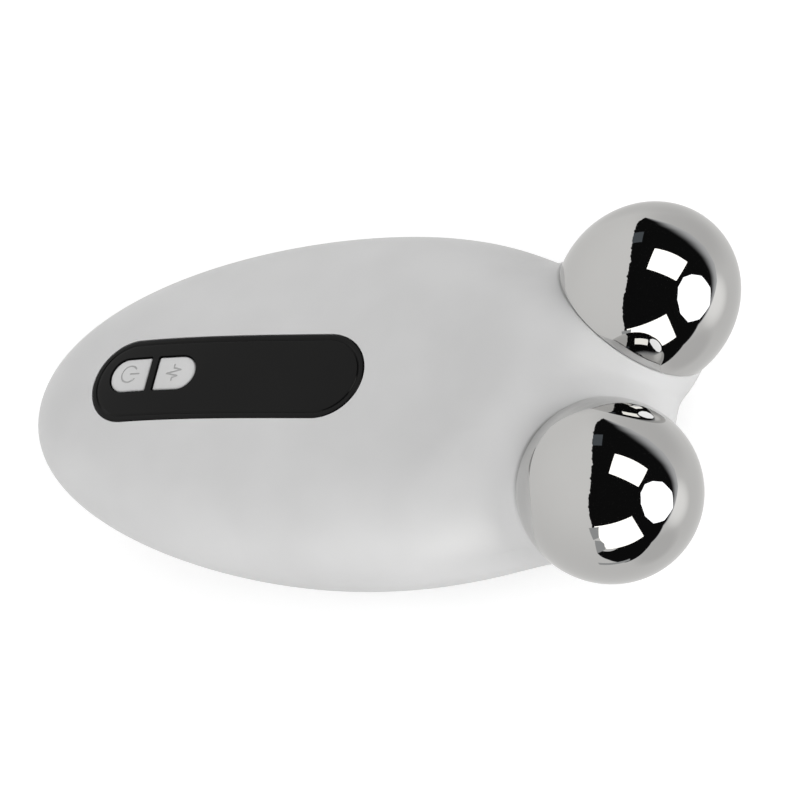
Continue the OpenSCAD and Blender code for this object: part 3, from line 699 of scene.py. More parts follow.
def ranged(nodes, links, source, start, end, low, high, smooth=False):
    """A value that runs from low to high as the source runs from start to end."""
    node = nodes.new("ShaderNodeMapRange")
    if smooth:
        node.interpolation_type = "SMOOTHSTEP"
    sockets = ("From Min", "From Max", "To Min", "To Max")
    for socket, value in zip(sockets, (start, end, low, high)):
        node.inputs[socket].default_value = value
    links.new(source, node.inputs["Value"])
    return node.outputs["Result"]


def noise(nodes, links, scale, detail=3):
    """Noise on the piece's own coordinates, with its features about 1/scale metres apart."""
    coordinates = nodes.new("ShaderNodeTexCoord")
    texture = nodes.new("ShaderNodeTexNoise")
    texture.inputs["Scale"].default_value = scale
    texture.inputs["Detail"].default_value = detail
    links.new(coordinates.outputs["Object"], texture.inputs["Vector"])
    return texture.outputs["Fac"]


def spread(nodes, links, source, low, high):
    """A value that runs from low to high as the source runs over the noise's usual range."""
    return ranged(nodes, links, source, 0.3, 0.7, low, high)


def tint(nodes, links, source, low, high):
    """A colour that runs from low to high with the source."""
    ramp = nodes.new("ShaderNodeValToRGB")
    ramp.color_ramp.elements[0].position = 0.35
    ramp.color_ramp.elements[0].color = (*low, 1)
    ramp.color_ramp.elements[1].position = 0.65
    ramp.color_ramp.elements[1].color = (*high, 1)
    links.new(source, ramp.inputs["Fac"])
    return ramp.outputs["Color"]


def relief(nodes, links, source, depth):
    """A bump normal of that depth in metres."""
    bump = nodes.new("ShaderNodeBump")
    bump.inputs["Distance"].default_value = depth
    links.new(source, bump.inputs["Height"])
    return bump.outputs["Normal"]


def moulded(name, colour, roughness, grain=0.00001, variation=0.03, grain_scale=5000, coat=0.0):
    """Moulded plastic or rubber: a faint drift of colour, uneven gloss and a fine grain."""
    material, nodes, links, shader = new_material(name)
    drift = noise(nodes, links, DRIFT_SCALE, detail=2)
    fine = noise(nodes, links, grain_scale, detail=2)
    dark = tuple(c * (1 - variation) for c in colour)
    light = tuple(min(1, c * (1 + variation)) for c in colour)
    links.new(tint(nodes, links, drift, dark, light), shader.inputs["Base Color"])
    gloss = spread(nodes, links, noise(nodes, links, GLOSS_SCALE), roughness * 0.9, roughness * 1.1)
    links.new(gloss, shader.inputs["Roughness"])
    links.new(relief(nodes, links, fine, grain), shader.inputs["Normal"])
    shader.inputs["Coat Weight"].default_value = coat
    shader.inputs["Coat Roughness"].default_value = COAT_ROUGHNESS
    return material


def metal(name, colour, roughness, variation=0.04, stretch=(1, 1, 1), scale=2500, depth=0.000002):
    """Bare metal: uneven gloss from a noise that may be stretched into brush marks."""
    material, nodes, links, shader = new_material(name)
    coordinates = nodes.new("ShaderNodeTexCoord")
    mapping = nodes.new("ShaderNodeMapping")
    mapping.inputs["Scale"].default_value = stretch
    texture = nodes.new("ShaderNodeTexNoise")
    texture.inputs["Scale"].default_value = scale
    links.new(coordinates.outputs["Object"], mapping.inputs["Vector"])
    links.new(mapping.outputs["Vector"], texture.inputs["Vector"])
    fine = texture.outputs["Fac"]
    dark = tuple(c * (1 - variation) for c in colour)
    links.new(tint(nodes, links, fine, dark, colour), shader.inputs["Base Color"])
    gloss = spread(nodes, links, fine, roughness * 0.8, roughness * 1.2)
    links.new(gloss, shader.inputs["Roughness"])
    links.new(relief(nodes, links, fine, depth), shader.inputs["Normal"])
    shader.inputs["Metallic"].default_value = 1
    return material


def finished(piece, material, body="case"):
    """The piece with its material and the body that it rides on."""
    piece.data.materials.clear()
    piece.data.materials.append(material)
    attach(piece, body)
    return piece


# ---------------------------------------------------------------- settings

def colour_property(name, description, default):
    """A colour setting in linear light."""
    return FloatVectorProperty(
        name=name, description=description, default=default, subtype="COLOR", size=3, min=0, max=1
    )


class ShellSettings(bpy.types.PropertyGroup):
    """Sizes and colour of the two body shells."""
    colour: colour_property("Colour", "Colour of the moulded shells", (0.62, 0.62, 0.62))
    roughness: FloatProperty(
        name="Roughness", description="Roughness of the shells", default=0.38, min=0, max=1
    )
    seam: FloatProperty(
        name="Seam", description="Gap between the two shells", default=0.00002, unit="LENGTH"
    )


class ElectrodeSettings(bpy.types.PropertyGroup):
    """Finish of the two electrodes."""
    colour: colour_property("Colour", "Tint of the plating", (0.6, 0.597, 0.59))
    roughness: FloatProperty(
        name="Roughness", description="Roughness of the plating", default=0.03, min=0, max=1
    )


class PanelSettings(bpy.types.PropertyGroup):
    """Sizes and colour of the control panel."""
    colour: colour_property("Colour", "Colour of the panel", (0.0045, 0.0045, 0.0045))
    rim: FloatProperty(
        name="Rim", description="Radius of its rounded edge", default=0.00025, unit="LENGTH"
    )


class KeySettings(bpy.types.PropertyGroup):
    """Sizes and colours of the two keys."""
    colour: colour_property("Colour", "Colour of the keys", (0.65, 0.65, 0.65))
    # This colour is painted shade: the darker filling stands for the shade in the engraved grooves
    groove_shade_colour: colour_property("Groove shade colour", "Painted shade in the engraved grooves", (0.4, 0.4, 0.4))
    rim: FloatProperty(
        name="Rim", description="Radius of a key's rounded edge", default=0.0003, unit="LENGTH"
    )
    stroke: FloatProperty(
        name="Stroke", description="Width of the engraved marks", default=0.0003, unit="LENGTH"
    )


class StageSettings(bpy.types.PropertyGroup):
    """Levels of the studio."""
    fill: FloatProperty(
        name="Fill", description="Level of the light from all round", default=0.42, min=0
    )
    lamps: FloatProperty(
        name="Lamps", description="Level of the soft lamps", default=1.0, min=0
    )


# ---------------------------------------------------------------- pieces

def half_space(name, low, high):
    """Box wider than the body between two heights."""
    reach = 1.2 * BODY_LENGTH
    return prism(name, rounded_box(-reach, reach, -reach, reach, [1] * 4, reach), low, high)


def neck_cutter(name, side):
    """Stepped hole for the carrier through a bulkhead, as a revolved profile."""
    back = -MOUTH_DEPTH - BULKHEAD_T - PAST
    step = -MOUTH_DEPTH - FLANGE_T
    front = -MOUTH_DEPTH + PAST
    profile = np.array([
        (0, back), (CARRIER_R, back), (CARRIER_R, step), (FLANGE_R, step), (FLANGE_R, front),
        (0, front),
    ])
    return revolved(name, profile, neck_place(side), NECK_STEPS)


def bulkhead(name, side):
    """Thick disc that keeps the shell solid in front of a bulkhead's back face."""
    back = -MOUTH_DEPTH - BULKHEAD_T
    front = back + BULKHEAD_T + 2 * MOUTH_OVERRUN
    radius = BULKHEAD_REACH * ELECTRODE_R
    profile = np.array([(0, back), (radius, back), (radius, front), (0, front)])
    return revolved(name, profile, neck_place(side), NECK_STEPS)


def socket_cutter(name):
    """Round-ended bar along the body for the charging socket's opening: an upright prism,
    turned so that its axis runs along X and its width along Y."""
    bar = prism(name, pill(SOCKET_W, SOCKET_H), SOCKET_FROM, SOCKET_TO)
    turn = Matrix(((0, 0, 1), (1, 0, 0), (0, 1, 0))).to_4x4()
    bar.data.transform(Matrix.Translation((0, 0, SOCKET_Z * MM)) @ turn)
    return bar


def upper_forms():
    """What stays solid inside the upper shell: the panel's tray, the board's bosses and the
    screw columns. And what is cut out of it: the panel's pocket, the openings for the light
    guide and the keys, and the screws' pilot holes."""
    tray = pill(PANEL_L, PANEL_W, CLEARANCE + TRAY_RIM, PANEL_X)
    kept = [prism("tray", tray, TRAY_Z, ABOVE)]
    kept += posts("boss", BOARD_SCREWS, BOARD_BOSS_R, BOARD_Z, ABOVE)
    kept += posts("column", CASE_SCREWS, COLUMN_R, PARTING_Z - PAST, ABOVE)
    guide = pill(GUIDE_L, GUIDE_W, GUIDE_CLEARANCE, GUIDE_X)
    cut = [
        prism("pocket", panel_outline(CLEARANCE), PANEL_FLOOR_Z, ABOVE),
        prism("slot", guide, TRAY_Z - PAST, ABOVE),
    ]
    cut += [
        prism("key_hole", key_outline(side, KEY_CLEARANCE), TRAY_Z - PAST, ABOVE)
        for side in (-1, 1)
    ]
    cut += posts("pilot", BOARD_SCREWS, BOARD_SCREW_R, BOARD_Z - PAST, BOARD_SCREW_END_Z)
    cut += posts("pilot", CASE_SCREWS, CASE_SCREW_R, PARTING_Z - PAST, CASE_SCREW_END_Z)
    return kept, cut


def lower_forms():
    """What stays solid inside the lower shell: the plinth over the rest pad and the screw
    columns. And what is cut out of it: the pad's pocket and the screws' stepped holes."""
    plinth = pill(PAD_L, PAD_W, PAD_FLOOR_T)
    kept = [prism("plinth", plinth, -PAST, PAD_T + PAD_FLOOR_T)]
    kept += posts("column", CASE_SCREWS, COLUMN_R, -PAST, PARTING_Z + PAST)
    cut = [prism("pad_pocket", pill(PAD_L, PAD_W, CLEARANCE), -2 * PAST, PAD_T)]
    for spot in CASE_SCREWS:
        cut.append(round_prism("head", spot, CASE_HEAD_R, -2 * PAST, CASE_SEAT_Z))
        cut.append(round_prism("shaft", spot, CASE_SCREW_HOLE_R, 0, PARTING_Z + PAST))
    return kept, cut


class TONER_OT_shells(bpy.types.Operator):
    """Build the two smooth body shells with their pockets, holes and hollow"""
    bl_idname = "toner.shells"
    bl_label = "Body shells"

    def execute(self, context):
        settings = context.scene.toner_shells
        gap = settings.seam / MM / 2
        plastic = moulded("shell_plastic", tuple(settings.colour), settings.roughness, coat=0.15)
        for name, low, high, forms in (
            ("upper_shell", PARTING_Z + gap, ABOVE, upper_forms),
            ("lower_shell", -PAST, PARTING_Z - gap, lower_forms),
        ):
            kept, cut = forms()
            disks = [bulkhead("bulkhead", side) for side in (-1, 1)]
            hollow = combined(hollow_solid("hollow"), "DIFFERENCE", *disks, *kept)
            shell = skin_solid("smooth_" + name)
            combined(shell, "INTERSECT", half_space("half", low, high))
            necks = [neck_cutter("neck", side) for side in (-1, 1)]
            combined(shell, "DIFFERENCE", hollow, socket_cutter("socket"), *necks, *cut)
            sharpened(shell)
            whole = skin_solid("whole")
            shaded_as(shell, whole)
            bpy.data.objects.remove(whole)
            finished(shell, plastic)
            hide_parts(name)
        return {"FINISHED"}


def egg_arc(radius, half_length, start, end, steps):
    """Points of an ellipse (radius cos t, half_length sin t) between two angles."""
    t = np.linspace(start, end, steps)
    return np.stack([radius * np.cos(t), half_length * np.sin(t)], axis=-1)


class TONER_OT_electrodes(bpy.types.Operator):
    """Turn the two hollow egg-shaped electrodes"""
    bl_idname = "toner.electrodes"
    bl_label = "Electrodes"

    def execute(self, context):
        settings = context.scene.toner_electrodes
        plating = metal(
            "polished_plating", tuple(settings.colour), settings.roughness,
            variation=0.015, scale=120, depth=0.0000001,
        )
        back = MOUTH_DEPTH - SEAL_T
        inner_r, inner_c = ELECTRODE_R - ELECTRODE_WALL, ELECTRODE_C - ELECTRODE_WALL
        back_r = ELECTRODE_R * math.sqrt(1 - (back / ELECTRODE_C) ** 2)
        outer_steps, inner_steps, round_steps = ELECTRODE_STEPS
        outer = egg_arc(
            ELECTRODE_R, ELECTRODE_C, math.pi / 2, math.asin(-back / ELECTRODE_C), outer_steps
        )
        outer[0, 0] = 0
        inner = egg_arc(
            inner_r, inner_c, math.asin((LIP_T - back) / inner_c), math.acos(POST_R / inner_r),
            inner_steps,
        )
        profile = np.concatenate([
            outer,
            [(back_r - LIP_W, -back), (back_r - LIP_W, LIP_T - back)],
            inner,
            [(POST_R, -MOUTH_DEPTH), (SCREW_HOLE_R, -MOUTH_DEPTH)],
            [(SCREW_HOLE_R, SCREW_HOLE_END), (0, SCREW_HOLE_END)],
        ])
        for name, side in (("left_electrode", 1), ("right_electrode", -1)):
            piece = revolved("polished_" + name, profile, neck_place(side), round_steps)
            sharpened(piece)
            finished(piece, plating)
            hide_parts(name)
        return {"FINISHED"}


def key_box(side, near, far, half, radius, spacing):
    """Outline of a key's form between two distances from the middle of the keys, on the
    tail's side (-1) or the other (1): round at the far end, almost square at the near one."""
    ends = sorted((KEY_X + side * near, KEY_X + side * far))
    radii = [radius, KEY_CORNER, KEY_CORNER, radius]
    if side < 0:
        radii = [KEY_CORNER, radius, radius, KEY_CORNER]
    return rounded_box(*ends, KEY_Y - half, KEY_Y + half, radii, spacing)


def key_outline(side, grow=0):
    """Outline of one key's top, grown all round."""
    near, half = KEY_GAP / 2, KEY_W / 2 + grow
    return key_box(side, near - grow, near + KEY_L + grow, half, half, 0.3)


class TONER_OT_panel(bpy.types.Operator):
    """Build the glossy control panel with its two key openings"""
    bl_idname = "toner.panel"
    bl_label = "Control panel"

    def execute(self, context):
        settings = context.scene.toner_panel
        gloss = moulded(
            "panel_gloss", tuple(settings.colour), 0.14, grain=0.0000005, variation=0.1, grain_scale=300
        )
        shader = gloss.node_tree.nodes["Principled BSDF"]
        shader.inputs["Specular IOR Level"].default_value = PANEL_SPECULAR
        outline, normals = panel_outline()
        # A fine line runs round the face, inside its rounded edge
        swing = np.linspace(0, 2 * math.pi, 13)
        line = np.stack([
            LINE_IN - LINE_W * swing / swing[-1], LINE_DEPTH * (1 - np.cos(swing)) / 2
        ], axis=-1)
        edge = np.concatenate([line, rounding(settings.rim / MM)])
        panel = capped(
            "glossy_control_panel", outline, normals, PANEL_LOW_Z,
            lambda x, y: skin_height(x, y) + PANEL_RISE, edge, PANEL_RINGS,
        )
        cutters = [
            prism("key_hole", key_outline(side, KEY_CLEARANCE), PANEL_LOW_Z - PAST, ABOVE)
            for side in (-1, 1)
        ]
        combined(panel, "DIFFERENCE", *cutters)
        sharpened(panel)
        finished(panel, gloss)
        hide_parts("control_panel")
        return {"FINISHED"}


def strokes(kind):
    """Lines of a key's mark, in millimetres from its centre: an open ring with a bar for
    power, and a pulse of slanting lines for the mode."""
    if kind == "power":
        t = np.radians(np.linspace(38, 322, 57))
        ring = [-0.16, 0.18] + 1.5 * np.stack([np.cos(t), np.sin(t)], axis=-1)
        bar = np.stack([np.linspace(0.11, 1.76, 12), np.full(12, 0.18)], axis=-1)
        return [ring, bar]
    corners = np.array([
        (-0.5, 1.5), (-0.5, 0.9), (0.9, 0.5), (-1.7, -0.1), (0.4, -0.6), (-0.5, -0.9), (-0.5, -1.4)
    ])
    share = np.linspace(0, 1, 9)[:, None]
    return [a + share * (b - a) for a, b in zip(corners[:-1], corners[1:])]


def ribbon(name, line, width, low, high):
    """Bar of a constant width along a line in the XY plane, with round ends, between two
    height functions: the outline runs up one side of the line and back down the other."""
    step = np.gradient(line, axis=0)
    step = step / np.linalg.norm(step, axis=1, keepdims=True)
    side = np.stack([-step[:, 1], step[:, 0]], axis=-1)
    turn = np.linspace(0, math.pi, EDGE_STEPS)[1:-1, None]
    half = width / 2
    front = line[-1] + half * (np.cos(turn) * side[-1] + np.sin(turn) * step[-1])
    rear = line[0] - half * (np.cos(turn) * side[0] + np.sin(turn) * step[0])
    count = len(line)
    edge = np.concatenate([line + half * side, front, (line - half * side)[::-1], rear])
    left, right = np.arange(count), count + len(front) + np.arange(count)[::-1]
    total = len(edge)
    points = np.concatenate([
        np.column_stack([edge, low(edge[:, 0], edge[:, 1])]),
        np.column_stack([edge, high(edge[:, 0], edge[:, 1])]),
    ])
    here, there = np.arange(total), (np.arange(total) + 1) % total
    walls = np.stack([here, there, there + total, here + total], axis=-1)
    deck = np.stack([left[:-1], right[:-1], right[1:], left[1:]], axis=-1)
    fans = []
    for chain in (np.arange(count - 1, right[-1] + 1), np.append(np.arange(right[0], total), 0)):
        hub = np.full(len(chain) - 2, chain[0])
        fans.append(np.stack([hub, chain[2:], chain[1:-1], chain[1:-1]], axis=-1))
    under = np.concatenate([deck] + fans)
    faces = np.concatenate([walls, under, under[:, [1, 0, 3, 2]] + total])
    return object_from(name, points, outward(points, faces))


def under_key_top(depth):
    """Height function at a depth under a key's top."""
    return lambda x, y: skin_height(x, y) - KEY_DROP - depth


def key_body(name, side, middle, rim):
    """One key: its top follows the skin with a rounded edge, over a flange that holds it
    under the panel and a stem that presses the switch."""
    outline, normals = key_outline(side)
    key = capped(
        name, outline, normals, KEY_ROOT_Z, under_key_top(0), rounding(rim), KEY_RINGS
    )
    far = KEY_GAP / 2 + KEY_L + KEY_FLANGE
    half = KEY_W / 2 + KEY_FLANGE
    near = KEY_GAP / 2 + KEY_FLANGE_IN
    flange = key_box(side, near, far, half, half - KEY_FLANGE_FLAT, 0.5)
    return combined(
        key, "UNION", prism("flange", flange, KEY_FLANGE_LOW_Z, KEY_FLANGE_TOP_Z),
        round_prism("stem", (middle, KEY_Y), KEY_STEM_R, KEY_STEM_LOW_Z, KEY_FLANGE_TOP_Z),
    )


class TONER_OT_keys(bpy.types.Operator):
    """Build the two keys with their flanges, stems and engraved marks"""
    bl_idname = "toner.keys"
    bl_label = "Keys"

    def execute(self, context):
        settings = context.scene.toner_keys
        plastic = moulded("key_plastic", tuple(settings.colour), 0.24, grain=0.000002, coat=0.15)
        # The marks' filling takes a darker colour that is painted shade in the engraved grooves
        groove_shade = moulded("groove_painted_shade", tuple(settings.groove_shade_colour), 0.6)
        stroke = settings.stroke / MM
        for side, name, kind, body in (
            (-1, "power_button", "power", "power_key"), (1, "mode_button", "mode", "mode_key")
        ):
            middle = KEY_X + side * (KEY_GAP + KEY_L) / 2
            lines = [line + [middle, KEY_Y + MARK_SHIFT] for line in strokes(kind)]
            key = key_body("smooth_" + name, side, middle, settings.rim / MM)
            floor, above = under_key_top(GROOVE_DEPTH), under_key_top(-PAST)
            grooves = [ribbon("groove", line, stroke, floor, above) for line in lines]
            combined(key, "DIFFERENCE", *grooves)
            finished(sharpened(key), plastic, body)
            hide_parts(name)
            # Darker filling in each groove: painted shade of the engraved lines
            root, face = under_key_top(MARK_ROOT), under_key_top(MARK_DEPTH)
            mark, *more = [
                ribbon(kind + "_mark", line, MARK_FIT * stroke, root, face) for line in lines
            ]
            combined(mark, "UNION", *more)
            finished(sharpened(mark), groove_shade, body)
        return {"FINISHED"}


class TONER_OT_fittings(bpy.types.Operator):
    """Give the rest pad, the charging socket, the seals and the inner parts their finishes"""
    bl_idname = "toner.fittings"
    bl_label = "Fittings"

    def execute(self, context):
        steel = metal("plated_steel", (0.62, 0.62, 0.61), 0.25, stretch=(1, 6, 1))
        brass = metal("terminal_brass", (0.72, 0.55, 0.25), 0.3)
        foil = metal("battery_foil", (0.55, 0.58, 0.62), 0.4, scale=400, depth=0.00002)
        can = metal("capacitor_can", (0.65, 0.67, 0.7), 0.3)
        rubber = moulded("rest_rubber", (0.36, 0.36, 0.37), 0.7, grain=0.00003, grain_scale=2500)
        seal = moulded("seal_rubber", (0.06, 0.06, 0.06), 0.6)
        dark = moulded("dark_plastic", (0.03, 0.03, 0.03), 0.45)
        white = moulded("white_plastic", (0.75, 0.75, 0.73), 0.4)
        ivory = moulded("ivory_plastic", (0.75, 0.7, 0.55), 0.4)
        film = moulded("adhesive_film", (0.09, 0.09, 0.09), 0.6)
        clear = moulded("clear_guide", (0.8, 0.82, 0.83), 0.15, variation=0.01)
        clear.node_tree.nodes["Principled BSDF"].inputs["Transmission Weight"].default_value = 0.8
        lamp = moulded("lamp_resin", (0.8, 0.7, 0.3), 0.2)
        board = moulded("board_lacquer", (0.02, 0.16, 0.06), 0.3, variation=0.25, grain_scale=1200)
        chip = moulded("chip_resin", (0.02, 0.02, 0.02), 0.5)
        ferrite = moulded("coil_ferrite", (0.05, 0.05, 0.055), 0.6, grain=0.00003)
        foam = moulded("foam", (0.5, 0.5, 0.5), 0.9, grain=0.0001, grain_scale=1500)
        lead = moulded("lead_sleeve", (0.45, 0.02, 0.02), 0.35)
        finishes = {
            "panel_adhesive": film, "power_switch": dark, "mode_switch": dark,
            "power_switch_plunger": white, "mode_switch_plunger": white, "light_guide": clear,
            "indicator_leds": lamp, "circuit_board": board, "board_screws": steel,
            "microcontroller": chip, "step_up_coil": ferrite, "buzzer": dark,
            "output_capacitors": can, "usb_socket": steel, "usb_tongue": dark,
            "battery_cell": foil, "battery_pad": foam, "battery_header": ivory,
            "battery_plug": white, "battery_leads": lead, "electrode_seals": seal,
            "electrode_carriers": white, "electrode_terminals": brass, "electrode_screws": steel,
            "left_electrode_lead": lead, "right_electrode_lead": lead, "case_screws": steel,
            "rest_pad": rubber,
        }
        for node, material in finishes.items():
            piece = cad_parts[node]
            for slot in piece.material_slots:
                slot.link = "OBJECT"
                slot.material = material
        return {"FINISHED"}


# ---------------------------------------------------------------- stage

def glowing(name, colour, strength=1):
    """Material that only glows, as (material, nodes, links, glow)."""
    material = bpy.data.materials.new(name)
    material.use_nodes = True
    nodes, links = material.node_tree.nodes, material.node_tree.links
    nodes.clear()
    glow = nodes.new("ShaderNodeEmission")
    glow.inputs["Color"].default_value = (*colour, 1)
    glow.inputs["Strength"].default_value = strength
    output = nodes.new("ShaderNodeOutputMaterial")
    links.new(glow.outputs["Emission"], output.inputs["Surface"])
    return material, nodes, links, glow


def seen_ray(nodes, links):
    """1 for rays from the camera, from glossy surfaces and through clear ones, else 0."""
    path = nodes.new("ShaderNodeLightPath")
    total = path.outputs["Is Camera Ray"]
    for kind in ("Is Glossy Ray", "Is Transmission Ray"):
        total = calculated(nodes, links, "MAXIMUM", total, path.outputs[kind])
    return total


def floor_material():
    """Pale floor: a matte surface that keeps the shadow, and a glow towards seen rays that
    grows with the distance from the middle."""
    material, nodes, links, glow = glowing("pale_floor", (1, 1, 1))
    matte = nodes.new("ShaderNodeBsdfDiffuse")
    matte.inputs["Color"].default_value = FLOOR_COLOUR
    coordinates = nodes.new("ShaderNodeTexCoord")
    distance = nodes.new("ShaderNodeVectorMath")
    distance.operation = "LENGTH"
    links.new(coordinates.outputs["Object"], distance.inputs[0])
    (near, low), (far, high) = FLOOR_NEAR, FLOOR_FAR
    level = ranged(nodes, links, distance.outputs["Value"], near, far, low, high)
    strength = calculated(nodes, links, "MULTIPLY", seen_ray(nodes, links), level)
    links.new(strength, glow.inputs["Strength"])
    both = nodes.new("ShaderNodeAddShader")
    links.new(matte.outputs["BSDF"], both.inputs[0])
    links.new(glow.outputs["Emission"], both.inputs[1])
    links.new(both.outputs["Shader"], nodes["Material Output"].inputs["Surface"])
    return material


def facing(nodes, links, direction, start, end, low, high):
    """Value that runs smoothly from low to high as the cosine between a point's direction
    from the electrodes and the given one runs from start to end."""
    coordinates = nodes.new("ShaderNodeTexCoord")
    mapping = nodes.new("ShaderNodeMapping")
    mapping.inputs["Location"].default_value = tuple(-CENTRE * MM)
    links.new(coordinates.outputs["Object"], mapping.inputs["Vector"])
    unit = nodes.new("ShaderNodeVectorMath")
    unit.operation = "NORMALIZE"
    links.new(mapping.outputs["Vector"], unit.inputs[0])
    dot = nodes.new("ShaderNodeVectorMath")
    dot.operation = "DOT_PRODUCT"
    dot.inputs[1].default_value = Vector(direction).normalized()
    links.new(unit.outputs["Vector"], dot.inputs[0])
    return ranged(nodes, links, dot.outputs["Value"], start, end, low, high, smooth=True)


def sweep_material():
    """Pale paper sweep: the product of its lobes, a bright pool in front that falls off beside
    the dark room."""
    material, nodes, links, glow = glowing("sweep", (1, 0.995, 0.985))
    total = facing(nodes, links, *SWEEP_LOBES[0])
    for lobe in SWEEP_LOBES[1:]:
        total = calculated(nodes, links, "MULTIPLY", total, facing(nodes, links, *lobe))
    links.new(total, glow.inputs["Strength"])
    return material


def room_material():
    """Dark room whose painted edge value brightens its soft border."""
    material, nodes, links, glow = glowing("dark_room", (0.97, 0.98, 1))
    edge = nodes.new("ShaderNodeAttribute")
    edge.attribute_name = "edge"
    level = ranged(nodes, links, edge.outputs["Fac"], 0, 1, *ROOM_GLOW, smooth=True)
    links.new(level, glow.inputs["Strength"])
    return material


def sweep_dome(name):
    """Sphere about the electrodes: the half circle (R sin t, R cos t), turned."""
    down, around = SWEEP_STEPS
    turn = np.linspace(0, math.pi, down)
    profile = SWEEP_R * np.stack([np.sin(turn), np.cos(turn)], axis=-1)
    profile[[0, -1], 0] = 0
    return revolved(name, profile, np.array([(1, 0, 0), (0, 1, 0), (0, 0, 1), CENTRE]), around)


def dark_room(name):
    """Patch of a sphere about the electrodes in degrees of latitude towards +Y and of turn
    about Y, 0 in front and 90 overhead. It runs from a soft lower border to a straight and
    slightly ragged one overhead. The edge value falls from 1 at the soft border to 0 inside."""
    upward, sideways = ROOM_STEPS
    latitude = np.linspace(*ROOM_LATITUDES, sideways)
    low, high = np.interp(latitude, *ROOM_LOW), np.interp(latitude, *ROOM_HIGH)
    ragged = 0.7 * np.sin(0.55 * latitude) + 0.6 * np.sin(1.31 * latitude + 1)
    high = high + ragged * np.abs(np.sin(0.17 * latitude))
    turn = low + np.linspace(0, 1, upward)[:, None] ** 1.5 * (high - low)
    edge = np.clip(1 - (turn - low) / np.interp(latitude, *ROOM_SOFT), 0, 1)
    turn, up = np.radians(turn), np.broadcast_to(np.radians(latitude), turn.shape)
    ray = np.stack([np.cos(up) * np.cos(turn), np.sin(up), np.cos(up) * np.sin(turn)], axis=-1)
    ids = np.arange(turn.size).reshape(turn.shape)
    faces = np.stack([ids[:-1, :-1], ids[1:, :-1], ids[1:, 1:], ids[:-1, 1:]], axis=-1)
    room = object_from(name, (CENTRE + ROOM_R * ray).reshape(-1, 3), faces.reshape(-1, 4))
    room.data.attributes.new("edge", "FLOAT", "POINT").data.foreach_set("value", edge.ravel())
    return room


def flat_card(name, corners):
    """Card through its corners, as a fan about their mean."""
    here = np.arange(len(corners))
    hub = np.full(len(corners), len(corners))
    points = np.concatenate([corners, [corners.mean(axis=0)]])
    return object_from(name, points, np.stack([here, (here + 1) % len(corners), hub, hub], axis=-1))


def reflected_only(piece, material):
    """Stage piece that is seen only in glossy surfaces."""
    piece.data.materials.append(material)
    piece.visible_camera = False
    piece.visible_diffuse = False
    piece.visible_shadow = False
    piece.visible_transmission = False


def lay_floor():
    """Broad plain floor under the device."""
    reach = FLOOR_REACH
    square = rounded_box(-reach, reach, -reach, reach, [10] * 4, 2 * reach)
    floor = prism("floor", square, -FLOOR_T, 0)
    floor.data.materials.append(floor_material())
    floor.visible_glossy = False


def fill_world(scene, fill):
    """White world for seen rays, and an even light of the fill level for all others."""
    world = bpy.data.worlds.new("studio")
    scene.world = world
    world.use_nodes = True
    nodes, links = world.node_tree.nodes, world.node_tree.links
    background = nodes["Background"]
    background.inputs["Color"].default_value = (1, 1, 1, 1)
    level = ranged(nodes, links, seen_ray(nodes, links), 0, 1, fill, 1)
    links.new(level, background.inputs["Strength"])


def hang_studio():
    """The studio as polished metal sees it: a pale sweep all round, a dark room in front and
    overhead, and bright boxes and cards."""
    reflected_only(sweep_dome("surround"), sweep_material())
    reflected_only(dark_room("dark_room"), room_material())
    glows = {kind: glowing(kind + "_glow", *glow)[0] for kind, glow in CARD_GLOWS.items()}
    for name, (kind, corners) in CARDS.items():
        reflected_only(flat_card(name, np.array(corners, float)), glows[kind])


def hang_lamp(scene, name, place, power):
    """Soft disk lamp that looks at the device's middle and isn't seen in metal."""
    lamp = bpy.data.lights.new(name, "AREA")
    lamp.shape = "DISK"
    lamp.size = LAMP_SIZE
    lamp.energy = power
    holder = bpy.data.objects.new(name, lamp)
    place = Vector(place)
    turned = place.to_track_quat("Z", "Y").to_matrix().to_4x4()
    holder.matrix_world = Matrix.Translation(place) @ turned
    holder.visible_glossy = False
    scene.collection.objects.link(holder)


def place_camera(scene):
    """Camera at its place, turned to its aim with the given upward edge."""
    camera = bpy.data.cameras.new("camera")
    camera.lens = CAMERA_LENS
    camera.sensor_width = CAMERA_SENSOR
    camera.clip_start = CAMERA_CLIP
    eye, aim = Vector(CAMERA_PLACE) * MM, Vector(CAMERA_AIM) * MM
    behind = (eye - aim).normalized()
    right = Vector(CAMERA_UP).cross(behind).normalized()
    turned = Matrix((right, behind.cross(right), behind)).transposed().to_4x4()
    viewer = bpy.data.objects.new("camera", camera)
    viewer.matrix_world = Matrix.Translation(eye) @ turned
    scene.collection.objects.link(viewer)
    scene.camera = viewer


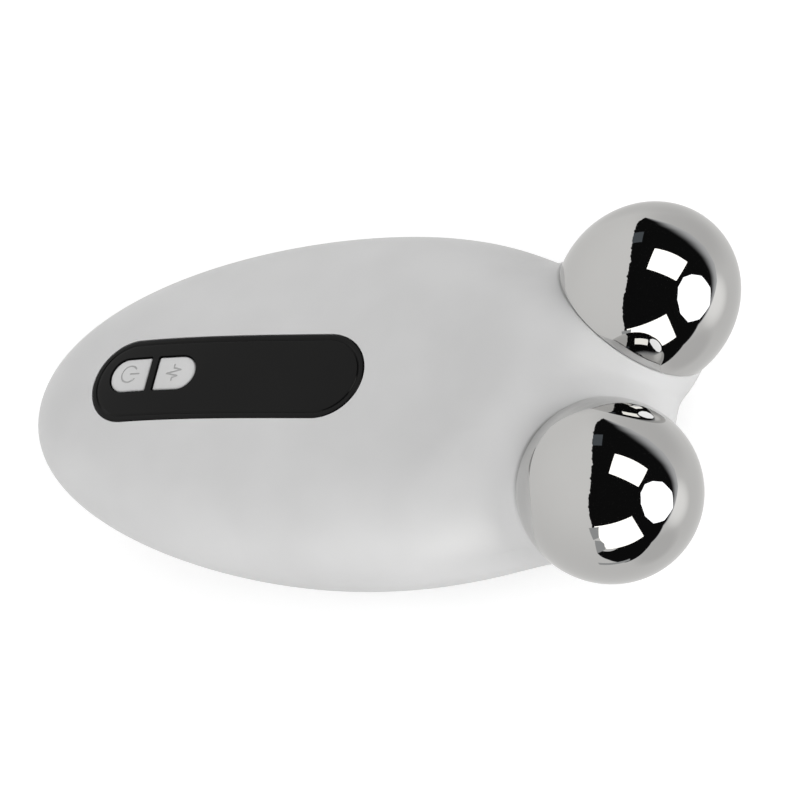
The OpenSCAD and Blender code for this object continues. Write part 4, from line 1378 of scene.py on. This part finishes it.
class TONER_OT_stage(bpy.types.Operator):
    """Set the floor, the light, the reflected studio and the camera"""
    bl_idname = "toner.stage"
    bl_label = "Stage"

    def execute(self, context):
        settings = context.scene.toner_stage
        scene = context.scene
        scene.view_settings.view_transform = "Standard"
        lay_floor()
        fill_world(scene, settings.fill)
        hang_studio()
        for name, (place, power) in LAMPS.items():
            hang_lamp(scene, name, place, settings.lamps * power)
        place_camera(scene)
        return {"FINISHED"}


# ---------------------------------------------------------------- add-on

class TONER_PT_sidebar(bpy.types.Panel):
    """Lists the steps that build the device."""
    bl_idname = "TONER_PT_sidebar"
    bl_label = "Facial toning device"
    bl_space_type = "VIEW_3D"
    bl_region_type = "UI"
    bl_category = "Toner"

    def draw(self, context):
        for operator, settings in STEPS:
            self.layout.operator(operator.bl_idname)
            if settings:
                group = getattr(context.scene, settings)
                for key in group.bl_rna.properties.keys():
                    if key not in {"rna_type", "name"}:
                        self.layout.prop(group, key)


GROUPS = {
    "toner_shells": ShellSettings,
    "toner_electrodes": ElectrodeSettings,
    "toner_panel": PanelSettings,
    "toner_keys": KeySettings,
    "toner_stage": StageSettings,
}
STEPS = [
    (TONER_OT_shells, "toner_shells"),
    (TONER_OT_electrodes, "toner_electrodes"),
    (TONER_OT_panel, "toner_panel"),
    (TONER_OT_keys, "toner_keys"),
    (TONER_OT_fittings, None),
    (TONER_OT_stage, "toner_stage"),
]


def register():
    """Registers the settings, the steps and the sidebar panel."""
    for name, group in GROUPS.items():
        bpy.utils.register_class(group)
        setattr(bpy.types.Scene, name, PointerProperty(type=group))
    for operator, _ in STEPS:
        bpy.utils.register_class(operator)
    bpy.utils.register_class(TONER_PT_sidebar)


def unregister():
    """Takes back what register added."""
    bpy.utils.unregister_class(TONER_PT_sidebar)
    for operator, _ in reversed(STEPS):
        bpy.utils.unregister_class(operator)
    for name, group in reversed(GROUPS.items()):
        delattr(bpy.types.Scene, name)
        bpy.utils.unregister_class(group)


def main():
    """Runs every step in order."""
    register()
    bpy.ops.toner.shells()
    bpy.ops.toner.electrodes()
    bpy.ops.toner.panel()
    bpy.ops.toner.keys()
    bpy.ops.toner.fittings()
    bpy.ops.toner.stage()


if __name__ == "__main__":
    main()
